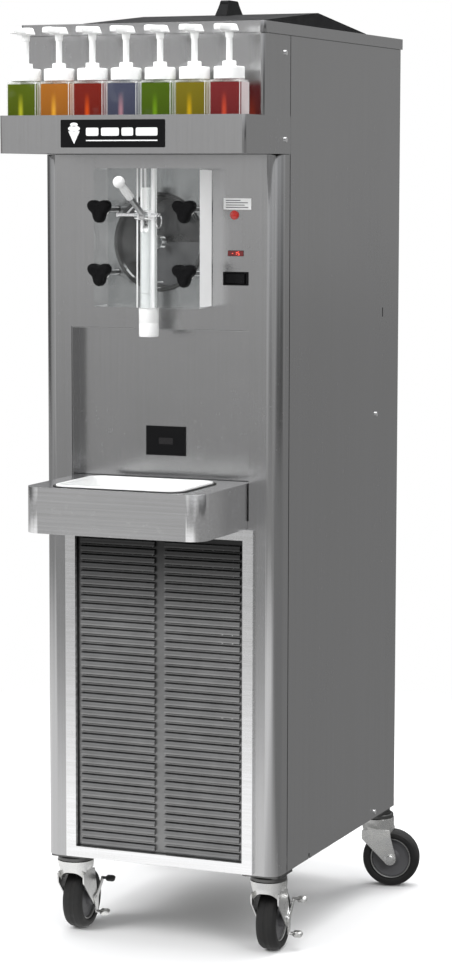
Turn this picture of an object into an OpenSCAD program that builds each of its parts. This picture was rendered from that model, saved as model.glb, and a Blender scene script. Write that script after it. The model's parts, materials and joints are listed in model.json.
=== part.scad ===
// Floor-standing soft serve machine with a syrup rail, on four swivel casters.
// The origin is on the floor under the middle of the footprint; +Z is up and the front faces -Y.
// Inside the modules, y = 0 is the plane of the front panel; placed() moves it to its place.

/* [Cabinet] */
// Width across the side panels
cabinet_w = 464; // [456:2:480]
// Depth from the front panel to the rear panel
cabinet_d = 632; // [626:2:660]
// Height of the top edge of the panels
cabinet_top = 1656.5; // [1656.5:1:1680.5]
// Radius of the cabinet's front corners
corner_r = 25; // [18:1:30]
// Thickness of the stainless sheet
sheet_t = 1.5; // [1:0.1:1.8]

/* [Head and cap] */
// How far the head stands out in front of the front panel
head_reach = 77; // [74:1:90]
// Height of the underside of the head and the syrup rail
head_bottom = 1450; // [1446:1:1452]
// Height of the cap's skirt
cap_h = 20; // [16:1:24]
// How far the cap overhangs the panels
cap_lip = 3; // [2.5:0.5:5]

/* [Syrup rail] */
// How far the rail stands out in front of the front panel
rail_reach = 165; // [165:1:180]
// Height of the rail's wall
rail_h = 66; // [50:1:76]
// Distance between bottles
bottle_pitch = 64.5; // [62:0.5:65]
// Width of one bottle
bottle_w = 59.5; // [56:0.5:61]
// Depth of one bottle
bottle_d = 44; // [40:1:46]
// Height of one bottle's body
bottle_h = 123; // [110:1:130]
// Travel of a pump
pump_travel = 30; // [15:1:36]

/* [Freezer door] */
// Width of the clear door
door_w = 206; // [200:2:220]
// Thickness of the clear door
door_t = 53; // [50:1:54]
// Height of the door's lower edge
door_bottom = 1179; // [1174:1:1184]
// Height of the door's upper edge
door_top = 1424.5; // [1420:0.5:1430]
// Height of the freezing cylinder's axis
cylinder_z = 1294; // [1290:1:1298]
// Inside diameter of the freezing cylinder
cylinder_d = 162; // [156:1:166]

/* [Dispensing area] */
// Width of the splash recess
recess_w = 350; // [346:2:360]
// Height of the recess's upper edge
recess_top = 1139.5; // [1130:0.5:1142]
// Depth of the recess
recess_depth = 30; // [26:1:36]
// Width of the drip shelf
shelf_w = 344; // [330:2:344]
// How far the drip shelf stands out
shelf_reach = 206; // [200:1:230]
// Height of the shelf's underside
shelf_bottom = 785.6; // [780:0.1:800]
// Height of the shelf's deck
shelf_top = 867.4; // [860:0.1:880]

/* [Grille] */
// Width of the grille's frame
grille_w = 372; // [368:1:378]
// Width of the frame's border
grille_border = 20; // [18:1:24]
// Distance between louvres
louvre_pitch = 15.2; // [14.5:0.1:20]

/* [Casters] */
// Height of the cabinet's underside
caster_h = 154.5; // [154.5:0.5:158]
// Diameter of the wheels
wheel_d = 113; // [104:1:114]
// Width of the tread
wheel_w = 38; // [30:1:40]
// Distance from the swivel axis to the axle
caster_trail = 30; // [26:1:32]
// Turn of the rear casters away from straight back, in degrees
rear_turn = 78; // [0:1:90]

/* [Hidden] */
$fn = 64;
gap = 0.5;                      // seam between neighbouring sheets
side_gap = 2.5;                 // open seam in front of the side panels
run = 0.05;                     // radial clearance of a running fit
half_w = cabinet_w / 2;
cord_reach = 18;                // room that the power cord takes behind the rear panel
front_y = (shelf_reach - cabinet_d - cord_reach) / 2;
seam_y = 47;                    // where the front corner meets the side panel
cap_z = cabinet_top + 0.5;
cap_top = cap_z + cap_h;
cap_half = half_w + cap_lip;

rail_t = sheet_t + 0.2;
rail_half = half_w + 0.3 + rail_t;
head_r = 6;                     // corners of the head and the rail
bottle_z = head_bottom + sheet_t + 0.3;
bottle_top = bottle_z + bottle_h;
bottle_y = -rail_reach + rail_t + 2.4 + bottle_d / 2;
bottle_wall = 1.6;
neck_r = 17;
neck_h = 13;
pump_cap_r = 26.6;
pump_cap_z = bottle_top + 1;
pump_cap_h = 21;
collar_h = 9.5;
stem_r = 5.5;
pump_head_z = pump_cap_z + pump_cap_h + collar_h + pump_travel + 20;
pump_head_h = 12;
BOTTLES = [for (i = [1:7]) (i - 4) * bottle_pitch];

cylinder_r = cylinder_d / 2;
jacket_r = cylinder_r + 15;
cylinder_len = 440;
door_back = -2.5;
door_front = door_back - door_t;
stud_x = 82;
stud_z = [1352, 1240];
stud_r = 5;
stud_end = door_front - 30;
KNOBS = [[-stud_x, stud_z[0]], [stud_x, stud_z[0]], [-stud_x, stud_z[1]], [stud_x, stud_z[1]]];
knob_back = door_front - 12;
knob_t = 20;
shaft_r = 12;
shaft_end = 492;

valve_y = -45;
valve_r = 15;
boss_r = 22;
valve_bottom = 1204;
valve_top = 1391;
pin_y = -70;
pin_z = 1343;
pin_r = 3;
crank_len = 25;                 // from the pivot pin to the lever's tip inside the valve
crank_angle = 30;               // the tip's angle below the pin at rest, and above it when drawn
tip_r = 5.5;
tip_y = pin_y + crank_len * cos(crank_angle);
tip_z = pin_z - crank_len * sin(crank_angle);
lever_len = 115;
nozzle_r = 18;
nozzle_bottom = 1127;

opening_bottom = shelf_bottom + 14;
grille_bottom = caster_h + 2.5;
grille_top = shelf_bottom - 0.6;
louvre_y = 5;
louvre_r = 7;
louvre_rows = floor((grille_top - grille_bottom - 2 * grille_border - 8) / louvre_pitch);
louvre_z0 = grille_bottom + grille_border + 8;
LOUVRES = [for (i = [0:louvre_rows - 1]) louvre_z0 + i * louvre_pitch];
mullion_w = 19;
louvre_end = grille_w / 2 - grille_border - 8;
shelf_r = 30;
tray_w = 246;
tray_d = 176;
tray_r = 28;
tray_y = -105;
deck_hole = 6;                  // how much smaller than the tray's rim the hole in the deck is, all round

hopper_y = 322;
hopper_w = 316;
hopper_d = 480;
hopper_z = 1500;
cover_w = 356;
cover_d = 522;
ridge_h = 34;

post_x = 202;
post_w = 24;
// fronts of the front and rear posts, which stand between the caster bolts
POST_YS = [48, cabinet_d - 60];
shelf_z = 1150;
compressor_y = 470;
fan_z = 485;
fan_r = 128;

switch_x = 148.5;
switch_z = 1231;
lamp_x = 146;
lamp_z = 1343;
display_z = 1275.5;

pan_t = 2.5;
plate_t = 6;
bolt_r = 4;
bolt_dx = 26;
bolt_dy = 28;
wheel_r = wheel_d / 2;
fork_half = wheel_w / 2 + 8;
leg_t = 3;
kingpin_r = 8;
axle_r = 5;
race_top = caster_h - plate_t - 1;
fork_top = race_top - 9;
cup_r = 33;
// each caster's swivel axis in x and y, its turn, and the middle of its plate in x and y
CASTERS = [
    [-195, 50, 4, -193, 50],
    [196, 50, 5, 193, 50],
    [-208, cabinet_d - 34, rear_turn, -193, cabinet_d - 48],
    [208, cabinet_d - 34, -rear_turn, 193, cabinet_d - 48]
];

steel = [0.66, 0.67, 0.68];
bright_steel = [0.80, 0.81, 0.82];
dark_steel = [0.42, 0.43, 0.44];
white = [0.96, 0.96, 0.95];
black = [0.06, 0.06, 0.065];
clear = [0.85, 0.88, 0.88, 0.4];

// ---- Shared shapes ----

module placed() {
    translate([0, front_y, 0]) children();
}

// Box between two corners
module block(x, y, z) {
    translate([x[0], y[0], z[0]]) cube([x[1] - x[0], y[1] - y[0], z[1] - z[0]]);
}

module rod_x(r, x0, x1) {
    translate([x0, 0, 0]) rotate([0, 90, 0]) cylinder(r = r, h = x1 - x0);
}

module rod_y(r, y0, y1) {
    translate([0, y0, 0]) rotate([-90, 0, 0]) cylinder(r = r, h = y1 - y0);
}

// Extrudes a profile drawn in y and z along x
module along_x(x0, x1) {
    translate([x0, 0, 0]) rotate([90, 0, 90]) linear_extrude(x1 - x0) children();
}

// Extrudes a profile drawn in x and z along y
module along_y(y0, y1) {
    translate([0, y1, 0]) rotate([90, 0, 0]) linear_extrude(y1 - y0) children();
}

module rounded_rect(w, d, r) {
    square([w - 2 * r, d], center = true);
    square([w, d - 2 * r], center = true);
    for (x = [-1, 1], y = [-1, 1]) translate([x * (w / 2 - r), y * (d / 2 - r)]) circle(r);
}

// Plan outline with its two front corners rounded
module front_rounded(half, y0, y1, r) {
    translate([-half, y0 + r]) square([2 * half, y1 - y0 - r]);
    translate([r - half, y0]) square([2 * (half - r), r]);
    for (side = [-1, 1]) intersection() {
        translate([side * (half - r), y0 + r]) circle(r);
        translate([-half, y0]) square([2 * half, r]);
    }
}

// Wall of sheet round the front and both sides, open at the back
module wrap_wall(half, y0, y1, r, h, t) {
    linear_extrude(h) difference() {
        front_rounded(half, y0, y1, r);
        front_rounded(half - t, y0 + t, y1 + 1, r - t);
    }
}

// ---- Cabinet ----

module chassis_frame() {
    inner = post_x - 2;
    color(dark_steel) placed() difference() {
        union() {
            // base pan
            translate([0, 0, caster_h]) linear_extrude(pan_t) front_rounded(half_w - 2, 12, cabinet_d - 4, 20);
            for (side = [-1, 1], y = POST_YS)
                translate([side * (post_x + post_w / 2) - post_w / 2, y, caster_h])
                    cube([post_w, post_w, cabinet_top - caster_h - 4]);
            // rails under the cap and under the middle shelf
            for (side = [-1, 1], z = [shelf_z - 12, cabinet_top - 28])
                translate([side * (post_x + post_w / 2) - post_w / 2, POST_YS[0], z])
                    cube([post_w, cabinet_d - 4 - POST_YS[0], z > shelf_z ? 24 : 12]);
            for (y = POST_YS)
                block([-post_x, post_x], [y, y + post_w], [cabinet_top - 28, cabinet_top - 4]);
            block([-post_x, post_x], [80, cabinet_d - 28], [shelf_z, shelf_z + 3]);
            block([-post_x - 1, post_x + 1], [80, cabinet_d - 28], [shelf_z - 12, shelf_z]);
            // saddles that carry the freezing cylinder
            for (y = [110, 380]) block([-70, 70], [y, y + 6], [shelf_z, cylinder_z - 40]);
        }
        block([-inner + 6, inner - 6], [90, cabinet_d - 40], [shelf_z - 20, shelf_z - 3]);
        translate([0, 0, cylinder_z]) rod_y(jacket_r + 0.2, 100, 400);
        caster_bolt_places() translate([0, 0, caster_h - 1]) cylinder(r = bolt_r + 0.2, h = pan_t + 2);
    }
}

// One side panel: a flat sheet with a folded front edge, seen from inside for side = 1
module side_panel(side) {
    color(steel) placed() difference() {
        union() {
            translate([side > 0 ? half_w - sheet_t : -half_w, seam_y + side_gap, caster_h])
                cube([sheet_t, cabinet_d - seam_y - side_gap, cabinet_top - caster_h]);
            translate([side > 0 ? half_w - 5.5 : -half_w, seam_y + side_gap, caster_h + 3])
                cube([5.5, sheet_t, cabinet_top - caster_h - 3]);
        }
        // screw holes, service slot and a notch in the lower edge
        for (hole = [[507, 954], [517, 166]])
            translate([0, hole[0], hole[1]]) rod_x(2.7, side > 0 ? 200 : -half_w - 5, side > 0 ? half_w + 5 : -200);
        translate([side * half_w, 539.5, 1150]) cube([20, 4, 18], center = true);
        translate([side * half_w, 159, caster_h + 4]) cube([20, 5, 12], center = true);
    }
}

module left_side_panel() {
    side_panel(-1);
}

module right_side_panel() {
    side_panel(1);
}

module rear_panel() {
    color(steel) placed() difference() {
        block([sheet_t - half_w + gap, half_w - sheet_t - gap], [cabinet_d - sheet_t, cabinet_d],
              [caster_h + 3, cabinet_top]);
        for (z = [0:11], x = [-95, 95])
            block([x - 70, x + 70], [cabinet_d - 5, cabinet_d + 5], [300 + 22 * z, 307 + 22 * z]);
        for (z = [0:7])
            block([-120, 120], [cabinet_d - 5, cabinet_d + 5], [1230 + 22 * z, 1237 + 22 * z]);
        translate([160, 0, 250]) rod_y(8.3, cabinet_d - 5, cabinet_d + 5);
    }
}

module front_panel() {
    color(steel) placed() difference() {
        translate([0, 0, caster_h])
            wrap_wall(half_w, 0, seam_y, corner_r, head_bottom - gap - caster_h, sheet_t);
        // grille, splash recess and freezing cylinder
        block([5 - grille_w / 2, grille_w / 2 - 5], [-1, 5], [grille_bottom + 6, shelf_bottom - 12]);
        block([-recess_w / 2, recess_w / 2], [-1, 5], [opening_bottom, recess_top]);
        translate([0, 0, cylinder_z]) rod_y(cylinder_r + 7.5, -1, 5);
        for (k = KNOBS) translate([k[0], 0, k[1]]) rod_y(stud_r + 0.5, -1, 5);
        // controls
        block([switch_x - 21, switch_x + 21], [-1, 5], [switch_z - 10, switch_z + 10]);
        translate([lamp_x, 0, lamp_z]) rod_y(5, -1, 5);
        block([133.2, 163.3], [-1, 5], [display_z - 4.8, display_z + 4.8]);
    }
}

module splash_panel() {
    outer = recess_w / 2 - 0.2;
    color(steel) placed() difference() {
        block([-outer, outer], [sheet_t + 0.2, recess_depth + sheet_t],
              [opening_bottom + 0.3, recess_top - 0.3]);
        block([sheet_t - outer, outer - sheet_t], [0, recess_depth],
              [opening_bottom - 1, recess_top - 0.3 - sheet_t]);
        // hole for the sensor's cable
        translate([0, 0, 950]) rod_y(4, 20, 40);
    }
}

module grille_frame() {
    outer = grille_w / 2;
    color(bright_steel) placed() along_y(-8, -0.2) difference() {
        translate([0, (grille_top + grille_bottom) / 2])
            rounded_rect(2 * outer, grille_top - grille_bottom, 1.5);
        translate([grille_border - outer, grille_bottom + grille_border])
            square([2 * (outer - grille_border), grille_top - grille_bottom - 2 * grille_border]);
    }
}

// Two columns of half-round louvres pressed out of one sheet
module louvre_panel() {
    columns = [[-louvre_end, -mullion_w / 2], [mullion_w / 2, louvre_end]];
    outer = grille_w / 2 - 7;
    color(bright_steel) placed() {
        along_y(louvre_y, louvre_y + 1.2) difference() {
            translate([-outer, grille_bottom + 8]) square([2 * outer, grille_top - grille_bottom - 22]);
            for (z = LOUVRES, c = columns)
                translate([c[0] + 1, z - louvre_r + 1.2]) square([c[1] - c[0] - 2, 2 * louvre_r - 2.4]);
        }
        for (c = columns) {
            along_x(c[0], c[1]) for (z = LOUVRES) louvre_hood(z, 1);
            for (x = [c[0], c[1] - 1]) along_x(x, x + 1) for (z = LOUVRES) louvre_hood(z, louvre_r);
        }
    }
}

// Profile of one hood in y and z, with its wall or a solid end
module louvre_hood(z, wall) {
    difference() {
        translate([louvre_y, z]) circle(louvre_r);
        if (wall < louvre_r) translate([louvre_y, z]) circle(louvre_r - wall);
        translate([louvre_y + 0.1, z - 10]) square([20, 20]);
        translate([louvre_y - 20, z - 20 - 3.6]) square([40, 20]);
    }
}

// ---- Head, cap and hopper ----

module head_housing() {
    color(steel) placed() difference() {
        union() {
            translate([0, 0, head_bottom])
                wrap_wall(half_w, -head_reach, seam_y, head_r, cabinet_top - head_bottom, sheet_t);
            translate([0, 0, head_bottom]) linear_extrude(sheet_t)
                front_rounded(half_w, -head_reach, -gap, head_r);
        }
        for (side = [-1, 1]) {
            translate([0, 24, 1626]) rod_x(2.7, side * half_w - 5, side * half_w + 5);
            translate([0, 20, 1475]) rod_x(2.7, side * half_w - 5, side * half_w + 5);
        }
    }
}

module syrup_rail() {
    color(steel) placed() difference() {
        union() {
            translate([0, 0, head_bottom])
                wrap_wall(rail_half, -rail_reach, seam_y - 3, head_r, rail_h, rail_t);
            translate([0, 0, head_bottom]) linear_extrude(sheet_t)
                front_rounded(rail_half, -rail_reach, -head_reach - 0.3, head_r);
            // low stops before and behind the bottles
            for (y = [-bottle_d / 2 - 1.8, bottle_d / 2 + 0.3]) translate([0, bottle_y + y, 0])
                block([-226, 226], [0, 1.5], [head_bottom, head_bottom + 24]);
        }
        for (side = [-1, 1])
            translate([0, 20, 1475]) rod_x(2.7, side * half_w - 5, side * half_w + 5);
    }
}

module name_plate() {
    color(black) placed() along_y(-rail_reach - 1.8, -rail_reach - 0.1)
        translate([-14, head_bottom + rail_h / 2 + 1]) rounded_rect(198, 48, 2);
}

module top_cap() {
    color(steel) placed() translate([0, 0, cap_z]) difference() {
        linear_extrude(cap_h) front_rounded(cap_half, -head_reach - cap_lip, cabinet_d + cap_lip, head_r + cap_lip);
        translate([0, 0, -1]) linear_extrude(cap_h + 1 - sheet_t)
            front_rounded(cap_half - sheet_t, sheet_t - head_reach - cap_lip,
                          cabinet_d + cap_lip - sheet_t, head_r + cap_lip - sheet_t);
        translate([0, hopper_y, 0]) linear_extrude(cap_h + 1) rounded_rect(hopper_w + 5, hopper_d + 5, 20);
    }
}

// Mix hopper: a deep pan hung in the cap by its rim, with a feed tube down to the cylinder
module hopper() {
    rim_z = cap_top + 0.1;
    color(bright_steel) placed() difference() {
        union() {
            translate([0, hopper_y, rim_z]) linear_extrude(2.4) rounded_rect(hopper_w + 28, hopper_d + 28, 24);
            translate([0, hopper_y, hopper_z]) linear_extrude(rim_z - hopper_z + 1)
                rounded_rect(hopper_w, hopper_d, 18);
            translate([0, 150, cylinder_z + jacket_r + 0.5])
                cylinder(r = 16, h = hopper_z - cylinder_z - jacket_r);
        }
        translate([0, hopper_y, hopper_z + sheet_t]) linear_extrude(400)
            rounded_rect(hopper_w - 2 * sheet_t, hopper_d - 2 * sheet_t, 18 - sheet_t);
        translate([0, 150, 1300]) cylinder(r = 13, h = 300);
    }
}

// Low gabled lid with its ridge across the machine
module cover_shape(w, d, rise, foot) {
    along_x(-w / 2, w / 2) polygon([[-d / 2, 0], [-d / 2, foot], [0, foot + rise], [d / 2, foot], [d / 2, 0]]);
}

module hopper_cover() {
    foot = 8;
    rise = ridge_h - foot;
    base_z = cap_top + 1;
    handle_z = base_z + ridge_h;
    color(black) placed() translate([0, hopper_y, base_z]) {
        difference() {
            cover_shape(cover_w, cover_d, rise, foot);
            translate([0, 0, -3]) cover_shape(cover_w - 6, cover_d - 6, rise, foot);
        }
    }
    // moulded grip that stands across the ridge
    color(black) placed() translate([0, hopper_y, handle_z + 0.1]) intersection() {
        along_x(-12, 12) {
            polygon([[-43, -4.1], [-27, 19], [26, 19], [43, -4.1], [0, 0]]);
            translate([-20, 19]) circle(7);
            translate([19, 19]) circle(7);
            translate([-20, 16]) square([39, 10]);
        }
        along_y(-60, 60) polygon([[-12, -6], [-7.5, 27], [7.5, 27], [12, -6]]);
    }
}

// ---- Freezing and refrigeration ----

// Insulated cylinder with its front plate, plus the four door studs screwed into the plate
module freezing_cylinder() {
    color(bright_steel) placed() {
        difference() {
            union() {
                translate([0, 0, cylinder_z]) rod_y(jacket_r, 14, cylinder_len);
                translate([0, 0, cylinder_z]) rod_y(cylinder_r + 7, -1.5, 15);
                along_y(2, 9) translate([0, cylinder_z]) rounded_rect(200, 236, 10);
            }
            translate([0, 0, cylinder_z]) rod_y(cylinder_r, -5, cylinder_len - 10);
            translate([0, 0, cylinder_z]) rod_y(shaft_r + run, 0, cylinder_len + 5);
            translate([0, 150, cylinder_z]) cylinder(r = 13, h = 200);
            for (k = KNOBS) translate([k[0], 0, k[1]]) rod_y(stud_r + run, -5, 10);
        }
        for (k = KNOBS) translate([k[0], 0, k[1]]) rod_y(stud_r, stud_end, 12);
    }
}

// Drive shaft with a helical blade that pushes the product to the door
module auger() {
    turns = 4;
    blade_len = 412;
    color(bright_steel) placed() translate([0, 0, cylinder_z]) {
        rod_y(shaft_r, -12, 486);
        translate([0, 12, 0]) rotate([-90, 0, 0])
            linear_extrude(blade_len, twist = 360 * turns, slices = 30 * turns, $fn = 8)
                translate([0, -2.5]) square([cylinder_r - 1.5, 5]);
    }
}

module gear_motor() {
    y0 = 462;
    y1 = 560;
    mid = (y0 + y1) / 2;
    color([0.30, 0.33, 0.36]) placed() {
        difference() {
            union() {
                block([-75, 75], [y0, y1], [shelf_z + 10, 1372]);
                for (x = [-75, 45]) block([x, x + 30], [y0 - 8, y1 + 8], [shelf_z + 3.2, shelf_z + 12]);
                translate([0, mid, 1370]) cylinder(r = 48, h = 112);
                for (z = [0:6]) translate([0, mid, 1384 + 12 * z]) cylinder(r = 53, h = 4);
                block([40, 66], [mid - 20, mid + 20], [1400, 1450]);
            }
            translate([0, 0, cylinder_z]) rod_y(shaft_r + run, y0 - 5, shaft_end);
        }
    }
}

// Hermetic compressor on four rubber feet, with its suction and discharge pipes
module compressor() {
    base_z = caster_h + 2.6;
    color(black) placed() translate([60, compressor_y, base_z]) {
        rotate_extrude() {
            translate([0, 17]) square([88, 133]);
            translate([0, 17]) square([60, 161]);
            translate([60, 150]) circle(28);
        }
        translate([-110, -80, 14]) cube([220, 160, 4]);
        for (x = [-92, 92], y = [-62, 62]) translate([x, y, 0]) cylinder(r = 14, h = 15);
        translate([-70, 0, 120]) rotate([0, -90, 0]) cylinder(r = 6, h = 60);
        translate([0, -80, 80]) rotate([90, 0, 0]) cylinder(r = 4.5, h = 50);
    }
}

// Fin-and-tube coil with a fan shroud and the fan's motor behind it
module condenser() {
    z0 = 230;
    z1 = 740;
    color([0.55, 0.56, 0.58]) placed() {
        for (x = [-150:20:150]) block([x - 0.8, x + 0.8], [36, 76], [z0, z1]);
        for (z = [z0 + 30:75:z1 - 20]) translate([0, 56, z]) rod_x(5, -158, 158);
        for (z = [z0 - 2, z1]) block([-160, 160], [32, 80], [z, z + 2]);
        for (side = [-1, 1]) block([side * 159 - 1, side * 159 + 1], [32, 80], [z0 - 2, z1 + 2]);
        for (side = [-1, 1]) block([side * 120 - 12, side * 120 + 12], [40, 72], [caster_h + 2.6, z0]);
        difference() {
            block([-160, 160], [78, 132], [fan_z - 160, fan_z + 160]);
            block([-157, 157], [76, 128], [fan_z - 157, fan_z + 157]);
            translate([0, 0, fan_z]) rod_y(fan_r + 7, 70, 140);
        }
        translate([0, 0, fan_z]) rod_y(36, 160, 226);
        translate([0, 0, fan_z]) rod_y(4, 100, 165);
        for (a = [90, 210, 330]) translate([0, 0, fan_z]) rotate([0, a, 0])
            block([30, 150], [162, 166], [-8, 8]);
        for (a = [90, 210, 330]) translate([0, 0, fan_z]) rotate([0, a, 0])
            block([142, 150], [129, 166], [-8, 8]);
    }
}

module fan_blades() {
    color([0.2, 0.2, 0.21]) placed() translate([0, 0, fan_z]) difference() {
        union() {
            rod_y(26, 108, 132);
            for (i = [0:4]) rotate([0, 72 * i, 0]) translate([20, 120, 0]) rotate([28, 0, 0])
                cube([fan_r - 22, 2, 44], center = false);
        }
        rod_y(4 + run, 90, 150);
    }
}

// ---- Freezer door and spigot ----

module door_seal() {
    color(black) placed() translate([0, door_back - 2, cylinder_z]) rotate([-90, 0, 0]) difference() {
        cylinder(r = cylinder_r + 4.5, h = 3);
        translate([0, 0, -1]) cylinder(r = cylinder_r + 1, h = 5);
    }
}

// Clear door with an upright boss for the valve and two lugs for the handle's pin
module freezer_door() {
    color(clear) placed() difference() {
        union() {
            along_y(door_front, door_back) translate([0, (door_top + door_bottom) / 2])
                rounded_rect(door_w, door_top - door_bottom, 3);
            translate([0, valve_y, door_bottom]) cylinder(r = boss_r, h = door_top - door_bottom);
            translate([0, 0, cylinder_z]) rod_y(cylinder_r - 0.4, door_back - 1, 6);
            for (side = [-1, 1]) translate([side * 10, 0, 0]) {
                translate([0, pin_y, pin_z]) rod_x(9, -3.5, 3.5);
                block([-3.5, 3.5], [pin_y, door_front], [pin_z - 9, pin_z + 9]);
            }
        }
        // valve bore, and the slot in front of it that the handle works in
        translate([0, valve_y, door_bottom - 1]) cylinder(r = valve_r + 0.06, h = 260);
        block([-6.4, 6.4], [-80, valve_y], [pin_z - 30, door_top + 1]);
        translate([0, pin_y, pin_z]) rod_x(pin_r + run, -30, 30);
        // outlet port, front bearing of the auger, and the seal's groove
        translate([0, 0, 1218]) rod_y(7, valve_y, 20);
        translate([0, 0, cylinder_z]) rod_y(shaft_r + run, -12.5, 10);
        translate([0, door_back - 2.1, cylinder_z]) rotate([-90, 0, 0]) difference() {
            cylinder(r = cylinder_r + 4.6, h = 5);
            translate([0, 0, -1]) cylinder(r = cylinder_r - 0.4, h = 8);
        }
        for (k = KNOBS) translate([k[0], 0, k[1]]) rod_y(stud_r + 0.3, -80, 10);
    }
}

// Three-lobed hand knob with a metal bush behind it, screwed on a door stud
module door_knob(i) {
    lobe_r = 10;
    lobe_at = 14;
    color(black) placed() translate([KNOBS[i][0], 0, KNOBS[i][1]]) difference() {
        union() {
            along_y(knob_back - knob_t, knob_back) {
                for (a = [30, 150, 270]) rotate(a) translate([lobe_at, 0]) circle(lobe_r);
                circle(15.5);
            }
            rod_y(10.5, knob_back - 0.1, door_front - 0.5);
        }
        rod_y(stud_r + run, stud_end - 1, 0);
    }
}

module door_knob_1() {
    door_knob(0);
}

module door_knob_2() {
    door_knob(1);
}

module door_knob_3() {
    door_knob(2);
}

module door_knob_4() {
    door_knob(3);
}

module spigot_nozzle() {
    color(white) placed() translate([0, valve_y, 0]) difference() {
        union() {
            translate([0, 0, nozzle_bottom]) cylinder(r = nozzle_r, h = door_bottom - nozzle_bottom - 0.1);
            translate([0, 0, nozzle_bottom]) cylinder(r = valve_r - 0.1, h = valve_bottom - nozzle_bottom - gap);
        }
        translate([0, 0, nozzle_bottom - 1]) cylinder(r = 11, h = 100);
    }
}

// Sliding valve with two ring grooves and a window for the lever's tip
module draw_valve() {
    color(white) placed() difference() {
        translate([0, valve_y, valve_bottom]) rotate_extrude() difference() {
            square([valve_r, valve_top - valve_bottom]);
            for (z = [22, 56]) translate([valve_r - 0.7, z]) square([2, 1.6]);
        }
        along_x(-5, 5) translate([0, tip_z])
            polygon([[valve_y + 6.5, -6], [valve_y + 6.5, 6], [tip_y, 6], [valve_y - 16, 12.6],
                     [valve_y - 16, -12.6], [tip_y, -6]]);
    }
}

// Pivot pin of the handle, with a pull ring at its right end
module pivot_pin() {
    color(bright_steel) placed() translate([0, pin_y, pin_z]) {
        rod_x(pin_r, -48, 33);
        rod_x(4.5, -50, -48);
        translate([31, 0, -10.5]) rotate([0, 90, 0]) rotate_extrude() translate([12, 0]) circle(1.4, $fn = 24);
    }
}

// Draw handle: a bent lever that lifts the valve, with a white sleeve and ball as its grip
module draw_handle() {
    color(steel) placed() translate([0, pin_y, pin_z]) {
        difference() {
            union() {
                rod_x(8, -5, 5);
                rotate([-crank_angle, 0, 0]) block([-4, 4], [0, crank_len], [-4, 4]);
                translate([0, tip_y - pin_y, tip_z - pin_z]) rod_x(tip_r, -4.4, 4.4);
                rotate([90 - crank_angle, 0, 0]) cylinder(r = 5, h = 80);
            }
            rod_x(pin_r + run, -10, 10);
        }
        color(white) rotate([90 - crank_angle, 0, 0]) difference() {
            union() {
                translate([0, 0, 62]) cylinder(r = 7, h = lever_len - 62);
                translate([0, 0, lever_len]) sphere(10.5);
            }
            translate([0, 0, 50]) cylinder(r = 5 + run, h = 31);
        }
    }
}

// ---- Controls ----

module instruction_plate() {
    color(white) placed() block([125, 178], [-0.9, -0.1], [1352.5, 1372.5]);
}

module indicator_light() {
    color([0.75, 0.08, 0.06]) placed() translate([lamp_x, 0, lamp_z]) {
        rod_y(8, -2.2, -0.1);
        rod_y(4.8, -0.2, 22);
        intersection() {
            translate([0, 4, 0]) sphere(10);
            rod_y(6.5, -7, -2);
        }
    }
}

module temperature_display() {
    color([0.35, 0.03, 0.03]) placed() {
        block([133.5, 163], [-1, 14], [display_z - 4.5, display_z + 4.5]);
    }
}

module switch_bezel() {
    color(black) placed() difference() {
        block([switch_x - 23.5, switch_x + 23.5], [-3, -0.1], [switch_z - 12, switch_z + 12]);
        block([switch_x - 20.4, switch_x + 20.4], [-5, 5], [switch_z - 9.4, switch_z + 9.4]);
    }
}

// Rocker pivoted on an upright axis, resting with its right end out
module rocker_switch() {
    color(black) placed() translate([switch_x, 4, switch_z]) rotate([0, 0, -7])
        linear_extrude(17.6, center = true) polygon([
            [-19.4, -7.4], [0, -5], [19.4, -7.4], [19.4, 0], [12, 4], [-12, 4], [-19.4, 0]
        ]);
}

module cup_sensor() {
    color(black) placed() difference() {
        union() {
            block([-38.5, 38.5], [recess_depth - 3, recess_depth - 0.1], [908, 961]);
            translate([0, 0, 950]) rod_y(3.6, recess_depth - 1, recess_depth + 12);
        }
        block([-14.5, 14.5], [recess_depth - 5, recess_depth - 1.5], [928, 940.5]);
    }
}

// ---- Drip shelf and tray ----

module drip_shelf() {
    half = shelf_w / 2;
    h = shelf_top - shelf_bottom;
    color(steel) placed() difference() {
        union() {
            translate([0, 0, shelf_bottom]) wrap_wall(half, -shelf_reach, -gap, shelf_r, h, sheet_t);
            translate([0, 0, shelf_bottom]) linear_extrude(sheet_t)
                front_rounded(half, -shelf_reach, -gap, shelf_r);
            translate([0, 0, shelf_top - sheet_t]) linear_extrude(sheet_t)
                front_rounded(half, -shelf_reach, recess_depth - 8, shelf_r);
        }
        translate([0, tray_y, shelf_top - 5]) linear_extrude(10)
            rounded_rect(tray_w - 2 * deck_hole, tray_d - 2 * deck_hole, tray_r - deck_hole);
    }
}

// White tray that lifts out of the shelf
module drip_tray() {
    wall = 2.5;
    rim = shelf_top + 0.3;
    depth = 22;
    inset = deck_hole + 0.6;
    color(white) placed() translate([0, tray_y, 0]) difference() {
        union() {
            translate([0, 0, rim]) linear_extrude(4) rounded_rect(tray_w, tray_d, tray_r);
            translate([0, 0, rim - depth]) linear_extrude(depth + 1)
                rounded_rect(tray_w - 2 * inset, tray_d - 2 * inset, tray_r - inset);
        }
        translate([0, 0, rim - depth + wall]) linear_extrude(depth + 10)
            rounded_rect(tray_w - 2 * inset - 2 * wall, tray_d - 2 * inset - 2 * wall, tray_r - inset - wall);
    }
}

// ---- Syrup bottles and pumps ----

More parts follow.
